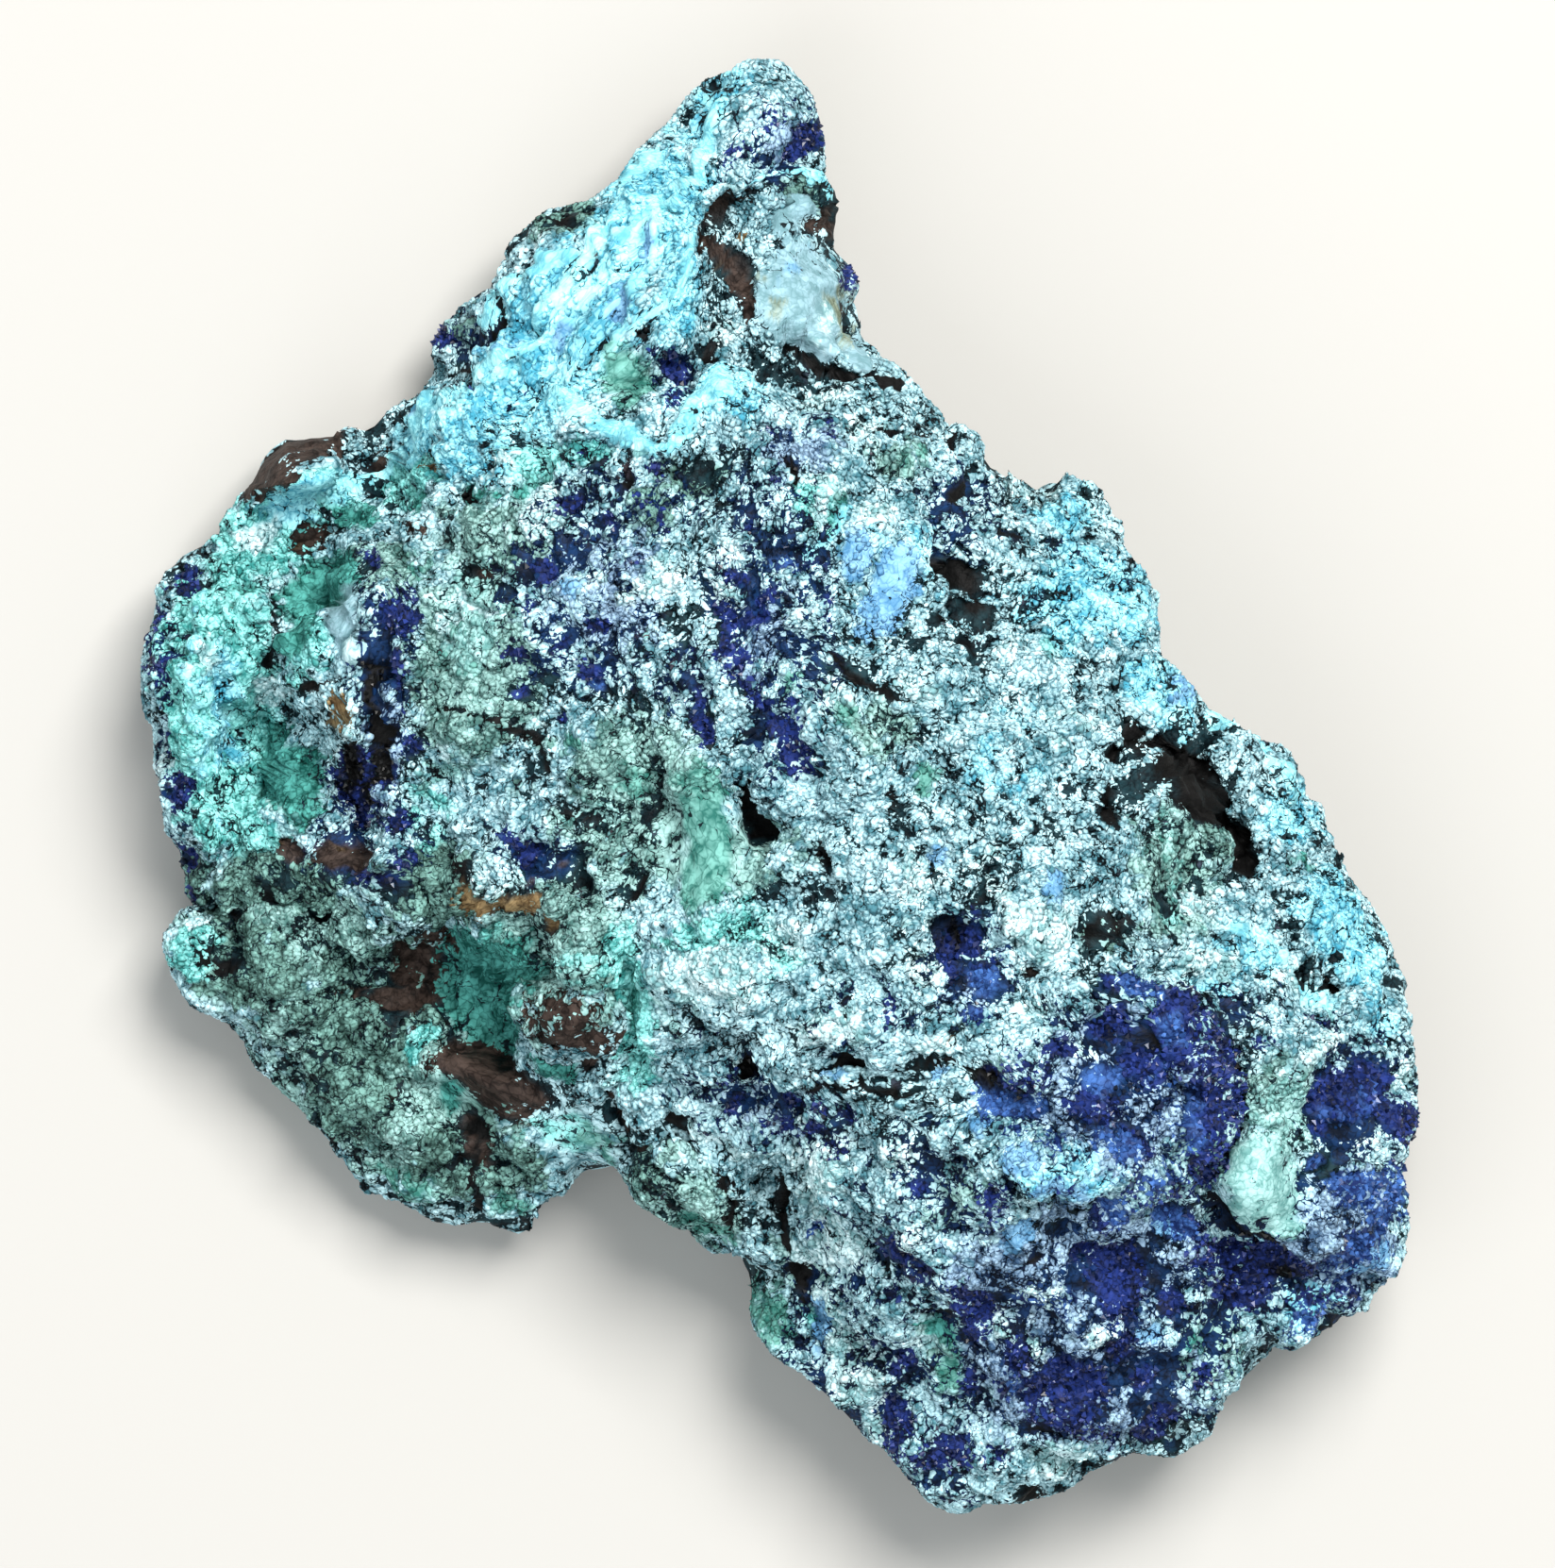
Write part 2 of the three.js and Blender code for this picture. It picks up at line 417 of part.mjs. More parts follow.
const stoneMaterial = new THREE.MeshStandardMaterial({ color: 0x74b3b6, roughness: 0.85, metalness: 0 });
const stone = new THREE.Mesh(stoneGeometry(), stoneMaterial);
stone.name = "azurite_malachite_stone";

const specimen = new THREE.Group();
specimen.add(stone);
export default specimen;
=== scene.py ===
"""An azurite and malachite specimen: one broken lump of copper-stained rock, crusted with fine crystals."""
import math

import bpy
import numpy as np
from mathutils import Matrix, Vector


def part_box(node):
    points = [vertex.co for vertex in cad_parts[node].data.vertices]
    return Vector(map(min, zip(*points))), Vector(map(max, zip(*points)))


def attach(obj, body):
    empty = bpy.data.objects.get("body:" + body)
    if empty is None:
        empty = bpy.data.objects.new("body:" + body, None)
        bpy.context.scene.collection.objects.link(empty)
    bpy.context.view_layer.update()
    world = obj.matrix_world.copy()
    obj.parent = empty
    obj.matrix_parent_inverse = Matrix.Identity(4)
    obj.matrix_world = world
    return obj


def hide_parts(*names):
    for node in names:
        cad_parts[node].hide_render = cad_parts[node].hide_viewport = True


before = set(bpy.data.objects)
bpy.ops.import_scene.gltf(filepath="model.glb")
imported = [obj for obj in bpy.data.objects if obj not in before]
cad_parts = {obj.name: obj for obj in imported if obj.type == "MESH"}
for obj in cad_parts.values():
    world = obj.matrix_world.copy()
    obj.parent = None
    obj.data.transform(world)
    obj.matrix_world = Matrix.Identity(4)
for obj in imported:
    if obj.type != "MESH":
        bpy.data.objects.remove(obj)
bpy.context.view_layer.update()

cad_low, cad_high = (np.array(corner) * 1000 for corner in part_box("azurite_malachite_stone"))


# ---------------------------------------------------------------------------------------------
# The stone: one piece of broken rock under a thin crust of copper minerals. Its skin is two sheets
# of small facets on one rim: the upper sheet carries the hills, bowls, ridges and ledges, the lower
# sheet the worn pads. All lengths are millimetres; the finished mesh is turned into metres.
# ---------------------------------------------------------------------------------------------
TOP_CELLS = 272          # cells along one side of the upper sheet's square grid
BASE_CELLS = TOP_CELLS // 2
RING_CENTRE = (-6, 0)    # the whole rim can be seen from this point
FLAT_SHARE = 0.68        # share of the rings that are evenly spaced, before the edge rolls over
FLAT_REACH = 0.84        # how far out those rings reach, as a share of the way to the rim
BASE_ROLL = 6.5          # width of the band where the underside curves up to the rim
HEIGHT_REACH = 5.2       # how far each height mark is felt
RIM_REACH = 9

# Rough break, from the widest bumps to the finest: kind, size, height, seed.
CHUNK = ("waves", 10, 1.5, 11)
KNOB = ("knobs", 5.2, 0.85, 23)
GRIT = ("waves", 2.3, 0.4, 37)
CRUMBS = [("knobs", 2.3, 0.36, 61), ("knobs", 1.15, 0.26, 71), ("waves", 0.8, 0.16, 81)]
ROUGH_FADE = 3.5         # distance from the rim at which the roughness is whole
RIM_ROUGHNESS = 0.3      # share of the roughness that is left at the rim
SMOOTH_ROUGHNESS = 0.2   # share that is left on the smooth faces
RIM_BULGE = 0.3          # how far the roughness may stand out past the rim

BASE_HOLLOW = 1.5        # mean height of the underside above the ground, between the pads
BASE_WAVE = ("waves", 11, 1.2, 51)
PAD_DEPTH = 5            # how strongly a pad cuts the underside down to the ground

# The rim, anticlockwise from the right-hand corner of the lower lobe.
RIM = [
    (39.7, -33.9), (41.6, -31.3), (42.2, -28.3), (41.6, -24.4), (42.4, -20.8), (41.8, -16), (42, -13.1),
    (40.9, -9.9), (38.7, -6.8), (37.6, -4.7), (36.8, -3.8), (35.5, -0.2), (34.8, 1.7), (33.2, 2.7),
    (32.1, 2.9), (30, 4.4), (28.4, 5), (26.1, 7.7), (25, 8.5), (24.9, 11.2), (25, 13), (23.2, 15.1),
    (22.8, 17.6), (21.4, 19.6), (19.9, 20.5), (19.3, 21.2), (18.7, 20.9), (17.1, 19.6), (14.9, 21.4),
    (12.6, 23.5), (11.4, 23.9), (9.8, 26.1), (7.8, 27.7), (6.7, 28.2), (5.4, 30.2), (4.9, 32.4), (5.2, 33.4),
    (4.9, 34.4), (3.5, 35.9), (3.6, 37), (4, 39), (2.8, 40.7), (2.75, 43), (2, 45.8), (0.7, 47.4), (0, 48),
    (-2, 48), (-2.9, 47.3), (-4.5, 46.9), (-6, 45.5), (-7.1, 43.9), (-9.1, 42.1), (-10.4, 40.1),
    (-12.4, 38.6), (-15.2, 38.2), (-17.5, 36.3), (-18.7, 34.1), (-20.6, 32.2), (-22.3, 30.7), (-22.7, 29.4),
    (-22.9, 27.6), (-24.1, 26.1), (-26.3, 25), (-27.5, 24.1), (-30.4, 23.5), (-32.9, 23.1), (-34.5, 21.8),
    (-35.6, 19.6), (-37.2, 17.1), (-39.9, 15.5), (-41.1, 14), (-41.7, 11.4), (-42.3, 6.8), (-42.2, 5.4),
    (-41.5, 4.2), (-41.4, 2), (-40.7, -1), (-40.4, -3.8), (-38.8, -7.9), (-39.7, -8.4), (-40.9, -10.1),
    (-40.4, -12), (-39, -14.3), (-36.5, -15.4), (-35.3, -17.2), (-34.8, -18.4), (-31.8, -21), (-30.1, -23.3),
    (-28.4, -25.3), (-27.6, -26.6), (-25.4, -27.6), (-22.7, -29), (-20.1, -29.1), (-17.5, -30),
    (-16.3, -29.7), (-15.7, -28.5), (-14.3, -26.4), (-13, -25.2), (-10.3, -24.9), (-9.3, -27.1),
    (-6.9, -28.6), (-5.2, -29.7), (-4.2, -30.6), (-3, -30.9), (-1.7, -33.2), (-1.3, -35.6), (0, -37.4),
    (1.9, -38.5), (4.6, -41.1), (6.2, -42.9), (7.3, -43.5), (9.5, -46.2), (10.4, -47.2), (12.2, -47.9),
    (13.6, -47.1), (16.4, -47), (19.1, -46.2), (20.6, -45), (23.7, -43.6), (26.3, -44), (28.6, -42.6),
    (29.1, -41.2), (30.8, -39.3), (33, -36.8), (34.3, -37.2), (37.2, -36.2), (38.6, -34.7),
]

# Height of the rim above the ground, as marks of x, y, height.
RIM_HEIGHTS = [
    (0, 48, 6), (5, 33, 7), (8, 27, 8), (19, 21, 9), (25, 10, 10), (30, 4, 9), (40, -9, 8), (42, -22, 10),
    (38, -35, 9), (28, -43, 8), (12, -48, 6.5), (-2, -34, 7), (-12, -25, 6), (-17, -30, 4), (-27, -27, 4),
    (-40, -10, 5), (-42, 7, 8), (-34, 22, 4), (-23, 28, 5), (-13, 38.5, 6),
]

# Width of the band where the upper sheet rolls down to the rim, as marks of x, y, width.
TOP_ROLLS = [
    (0, 46, 4), (4, 34, 4), (9, 26, 4.5), (19, 20, 4), (25, 11, 5), (30, 3, 6), (39, -9, 7.5), (42, -22, 7),
    (39, -33, 9), (28, -41, 7), (12, -46, 8), (0, -35, 5.5), (-12, -25, 4), (-18, -29, 5), (-28, -25, 6),
    (-38, -12, 5), (-41, 6, 5), (-33, 22, 2.5), (-23, 28, 3.5), (-13, 38, 5.5),
]

# Height of the upper sheet, as marks of x, y, height, before its bowls and ridges are added.
HEIGHTS = [
    # the pointed peak and its two flanks
    (-1, 46, 11), (-3, 38, 19), (-8, 31, 24), (-14, 28, 20), (-20, 30, 11), (2, 33, 20), (5, 29, 17),
    (-14, 34, 16), (0, 41, 15), (-7, 41, 14),
    # the broad middle, highest towards the lower right
    (-4, 22, 29), (-14, 18, 26), (6, 14, 32), (0, 5, 33), (12, 20, 24), (19, 17, 16), (22, 10, 22),
    (14, 4, 33), (24, 0, 26), (33, -3, 16), (10, -8, 35), (20, -8, 33), (30, -10, 25), (38, -14, 16),
    (0, -12, 31), (-6, -4, 28), (-14, -3, 24), (-10, 8, 27), (-20, 6, 22), (6, 24, 22),
    # the left lobe
    (-26, 10, 20), (-25, -2, 18), (-33, 12, 17), (-38, 5, 14), (-33, 20, 13), (-27, 21, 16),
    # the lower left lobe, the lowest part of the lump
    (-38, -10, 8), (-32, -8, 13), (-24, -8, 17), (-12, -12, 23), (-8, -20, 20), (-13, -23, 13), (-20, -26, 8),
    (-27, -23, 9), (-34, -14, 9),
    # the lower right lobe
    (0, -22, 27), (10, -20, 33), (20, -22, 34), (29, -18, 30), (32, -27, 27), (38, -24, 21), (39, -32, 15),
    (3, -34, 15), (10, -32, 26), (20, -34, 28), (28, -35, 22), (10, -42, 14), (18, -42, 17), (25, -40, 16),
    (-4, -28, 14),
]

# Bowls (below zero) and knobs (above zero): x, y, half-length, half-width, turn in degrees, height.
MOUNDS = [
    # left lobe: the wide bowl, its upper pocket, the cavity behind the thin wall, and the round knobs
    (-33.8, 2.5, 7.5, 5.2, 90, -7.5), (-30.8, 13.2, 4, 2.4, 80, -3.5), (-30.8, 16.7, 1.8, 1.5, 0, -2),
    (-28.2, -1, 4.2, 2.4, 110, -4), (-34.8, 11.8, 2, 1.9, 0, 1.7), (-28.2, 11.7, 1.6, 1.3, 90, 1.4),
    (-27.4, 8.4, 2.2, 1.1, 100, 1.1),
    # lower left lobe: two joined bowls, the broken block and the flat slab in them
    (-19.8, -12.6, 7, 6, -30, -7.5), (-26, -12.5, 5.2, 4.2, 0, -4.5), (-18, -16.8, 3.4, 2.8, 0, -2.5),
    (-13.6, -14.8, 2.9, 1.6, 0, 3.2), (-19.4, -19.4, 4.6, 1.9, -24, 2.6), (-39.3, -10, 2.2, 1.8, 0, 1.2),
    # right side: the black cavity and the pits beside it
    (26.2, 2, 3.8, 2.3, -25, -4.6), (29.8, -2.4, 3.5, 1.9, 105, -4.2), (22.2, 2.8, 1.5, 1.2, 0, -1.8),
    (21.2, -1.5, 1.4, 1.2, 0, -1.8), (36.8, -13.3, 2.2, 1.4, -15, -2.4), (33.4, -6.5, 4, 2.4, 120, 1.4),
    # middle: pits, saucers and the pale swellings
    (12, 14.2, 2.3, 1.5, 0, -2.2), (11.8, 11.2, 2.8, 1.7, 0, -1.8), (0.6, 18.8, 1.8, 1.5, 0, -2.2),
    (-20.2, 18.8, 1.6, 1.3, 0, -1.6), (-2, -17.8, 1.7, 1.3, 0, -2), (7, 13.3, 3.4, 3.2, 0, -0.9),
    (1.6, 16.6, 2.6, 1.3, 15, 1.2), (-4, -12.5, 5, 3.4, 10, 1.8), (3.2, -15, 4.2, 2.2, 5, 1.4),
    (8.8, -10.5, 2.8, 3, 0, 1.2), (16.3, -8, 3.2, 2.8, 0, 1.3), (1, 3, 2.6, 1.6, 110, -1),
    # peak: the pocket right of the tip, the stained hollows, the trough above the curved crest
    (3, 37.6, 1.9, 1.6, 90, -1.8), (-3.4, 37.6, 2.6, 1.4, 20, -1.5), (-3, 34.3, 2.8, 1.4, 110, -1.6),
    (-7, 26.3, 4.2, 2.6, 0, -1.8), (-22, 30, 2, 1.7, 0, 1.6), (19, 19.6, 2.4, 2, 0, 1.6),
    # lower right lobe: the pale green knob, the pale and turquoise swellings, the hollow under the knob
    (31.8, -26.2, 4.2, 3.2, 100, 2.4), (18.5, -24.5, 4.6, 3.2, -10, 1.3), (5, -39, 3.2, 2.2, -50, 1.7),
    (18.6, -43.4, 3, 2, 15, 1.2), (17.5, -32.5, 3.2, 2.6, 0, 1.2), (31.5, -31.5, 3.2, 1.7, 0, -2),
    (38.2, -28.5, 4, 4, 0, 1.5), (16.8, -12.2, 1.9, 1.6, 0, -1.3), (24.5, -18.5, 3, 2.4, -30, -1.3),
]

# Ridges (above zero) and clefts (below zero): half-width, height, then the line that each follows.
SEAMS = [
    # spine of the peak, the bright curved crest, the ledge right of the tip
    (4, 2.2, ((-0.5, 46), (-3.5, 40), (-6.5, 35), (-9, 30), (-13, 25.5))),
    (2, 1.6, ((-20, 24), (-15.5, 24), (-12, 23), (-10, 22), (-8, 21.7), (-6, 23), (-5, 24.5), (-1, 25))),
    (1.6, 1.3, ((-6, 39.4), (-1.8, 39.6), (0.8, 40.8), (3.4, 39.4))),
    # left lobe: outer rim, thin pale wall across the bowl, the wall that carries the blue band
    (3, 1.8, ((-37.5, 16), (-39.3, 9), (-39, 3), (-38.3, -2))),
    (1.5, 2.6, ((-27.6, 5.6), (-29, 3), (-30.5, 0.8), (-31.5, -0.6), (-32.5, -2), (-34.2, -2.8))),
    (2.3, 2.4, ((-27.2, 17), (-26.2, 13), (-25, 9), (-24.8, 3), (-25.4, -2), (-25, -6.5))),
    # lower left lobe: the rim round the bowls and the stained arc above them
    (2.6, 2, ((-33.5, -11), (-31.5, -17.5), (-26, -22), (-21.5, -24.5))),
    (1.6, 1.8, ((-20.5, -4.6), (-17.5, -5), (-15.4, -6.6), (-13.4, -8.6), (-12.6, -11.5))),
    # middle and right: the green tongue, the fan of fibres, the blue band
    (2.7, 1.5, ((-5, 2), (-4.6, -3), (-4.3, -8))), (3.2, 1.3, ((24.2, 0), (25.2, -5), (26.4, -10))),
    (2.4, 1.4, ((22.5, -12), (27, -15), (28.8, -20), (27.8, -23.5))),
    # clefts: left flank of the peak, under the smooth face, beside the tongue, behind the corner nub
    (1.4, -1.6, ((-17.5, 31.8), (-19.3, 30), (-20.5, 28.3), (-22, 26.8), (-23, 25), (-24.5, 23))),
    (1.5, -2, ((0.5, 29.3), (2, 28), (4, 27), (6, 26.6), (8, 25.8))),
    (1.3, -3, ((-2.1, 0.8), (-1.6, -1.5), (-0.5, -3.6))),
    (1.5, -1.9, ((-37.8, -7.8), (-33, -7.2), (-29, -8))), (1.3, -1.6, ((-33, 12.6), (-33.3, 8.2))),
    # clefts of the lower half
    (1.5, -2, ((-0.5, -26), (0, -29), (1, -31), (2, -34.5))),
    (1.4, -2.6, ((29.6, -17), (30.3, -20), (30, -23), (28.2, -25.2), (28.6, -27.8), (29.6, -30.2))),
    (1.6, -1.5, ((-11, -19.6), (-9, -22.5), (-5, -25), (-1.5, -27.5))),
    (1.1, -1.3, ((2, -17.8), (5, -17.4), (8, -17.9), (12, -17.5), (15, -18))),
    (1.1, -1.3, ((10, -9.3), (12.5, -9.6), (15, -9.9))),
]

# Ledges: the drop, its width, how far the lower side stays down, then the line of the edge.
# The lower side lies on the left of the line as it is followed.
LEDGES = [
    (6.5, 1.4, 9, ((-28.4, 25.5), (-29.2, 22.3), (-30, 20.7), (-32, 20.1), (-34, 20), (-38, 17.6))),
    (2.6, 1.6, 7, ((-24.5, 23), (-23, 25), (-20.5, 28.3), (-19.3, 30), (-17, 32.4), (-14.5, 36.5))),
    (1.4, 1.2, 5, ((9, 25), (6, 27), (4, 27.4), (2, 28.3), (-0.5, 30.5))),
    (1.3, 1.2, 4, ((4.4, 38.6), (0.8, 40.2), (-1.8, 39.2), (-6, 39))),
    (1.3, 1.3, 5, ((15.5, -17.8), (12, -17.2), (8, -17.6), (5, -17.1), (1, -17.8))),
    (2.2, 1.5, 6, ((-9.5, -20), (-8, -23), (-4.5, -25.4), (-0.5, -28.4), (1.6, -35))),
]

# Smooth faces: x, y, radius.
SMOOTH_FACES = [
    (2.4, 33, 4), (-4.6, -3.5, 3.6), (-33, 21.8, 4), (-13, -23, 3), (31.8, -26.5, 3), (-19.4, -19.4, 3.4),
]

# Worn pads of the underside: x, y, radius.
PADS = [
    (4, -6, 10), (-30, 4, 6), (-25, -17, 6), (14, -35, 7), (31, -20, 6.5), (15, 10, 6), (-7, 28, 5.5),
]
# Fibres and thin layers: x, y, half-length, half-width, direction in degrees, height, wave size.
STREAKS = [
    (-12, 32, 14, 7.5, 48, 0.8, 2), (-19, 25, 8, 4, 40, 0.55, 1.7), (-3, 42, 7, 4, 55, 0.5, 1.6),
    (25.4, -6, 8, 5, 80, 0.4, 1), (-9.6, -13.5, 7, 3, 92, 0.3, 1.3), (8, -19, 10, 3, -6, 0.45, 1.2),
    (-27, 8, 9, 3, 82, 0.5, 1.4), (16.6, -9, 4, 2.6, 85, 0.5, 1.1), (36, -11, 6, 3.4, 65, 0.4, 1.4),
    (-6, -22, 8, 4, 125, 0.4, 1.3), (-19.5, -19.5, 6, 3, -24, 0.4, 1.2), (5, 28, 7, 2.4, -20, 0.4, 1.3),
    (-24, -6, 9, 2.6, -6, 0.4, 1.3), (22, -14.5, 8, 2.2, -20, 0.45, 1.3), (4, -30, 7, 2.4, 100, 0.4, 1.3),
    (-5, -4, 7, 2.6, 86, 0.22, 1.2), (3, 5, 9, 4, 125, 0.35, 1.4),
]
# Where the crust is thin or torn open over the dark rock: x, y, half-length, half-width, turn, amount.
OPEN_CRUST = [
    (11, -1, 12, 6, 110, 0.1), (24, -5, 9, 7, 60, 0.22), (13.5, 11, 7, 5, 0, 0.22), (-2, 15.5, 8, 5, 0, 0.16),
    (-13, 12, 7, 8, 0, 0.12), (-3, -20.5, 8, 5.5, -30, 0.08), (9.5, -20.5, 8, 4, 0, 0.12),
    (22, -16, 8, 5, 0, 0.3), (22, -34, 14, 8, -10, 0.16), (-25.5, -12, 7, 5, 0, 0.3),
    (-30, -5, 7, 3.4, 0, 0.3), (-11, -4, 6, 6, 0, 0.2), (-27, 9, 2.4, 8, 0, 0.26),
    (-18.5, -19, 7, 4, -24, 0.34), (2, 37, 5, 3, 60, 0.34), (-3, 33, 3, 6, 20, 0.3),
    (4, 27, 6, 2.4, -20, 0.34), (-8, -24, 7, 5, 130, 0.22), (37, -20, 5, 6, 0, 0.2),
    (-18, 35, 6, 3, 60, 0.08), (29, -15, 5, 2, -20, 0.1), (-12, 22, 8, 2, 0, 0.16), (8, 22, 6, 3, -20, 0.2),
    (17, 17, 7, 5, 30, 0.02), (9, -30, 3, 3, 0, 0.36), (-33, -1, 3, 2.6, 0, 0.16), (21, 12.6, 3, 3, 0, 0.14),
    (33, -0.6, 3.4, 2.4, -50, 0.2), (-27.6, -6.4, 4, 2.6, 0, 0.2), (15.4, -12.6, 2.4, 2.4, 0, 0.2),
    (3, -6, 2.4, 2.4, 0, 0.14), (-15, 0.4, 3, 2.4, 0, 0.16), (-18.6, -6.3, 3, 1, -14, 0.7),
    (18.2, -25.2, 4, 2.6, 10, 0.2),
]


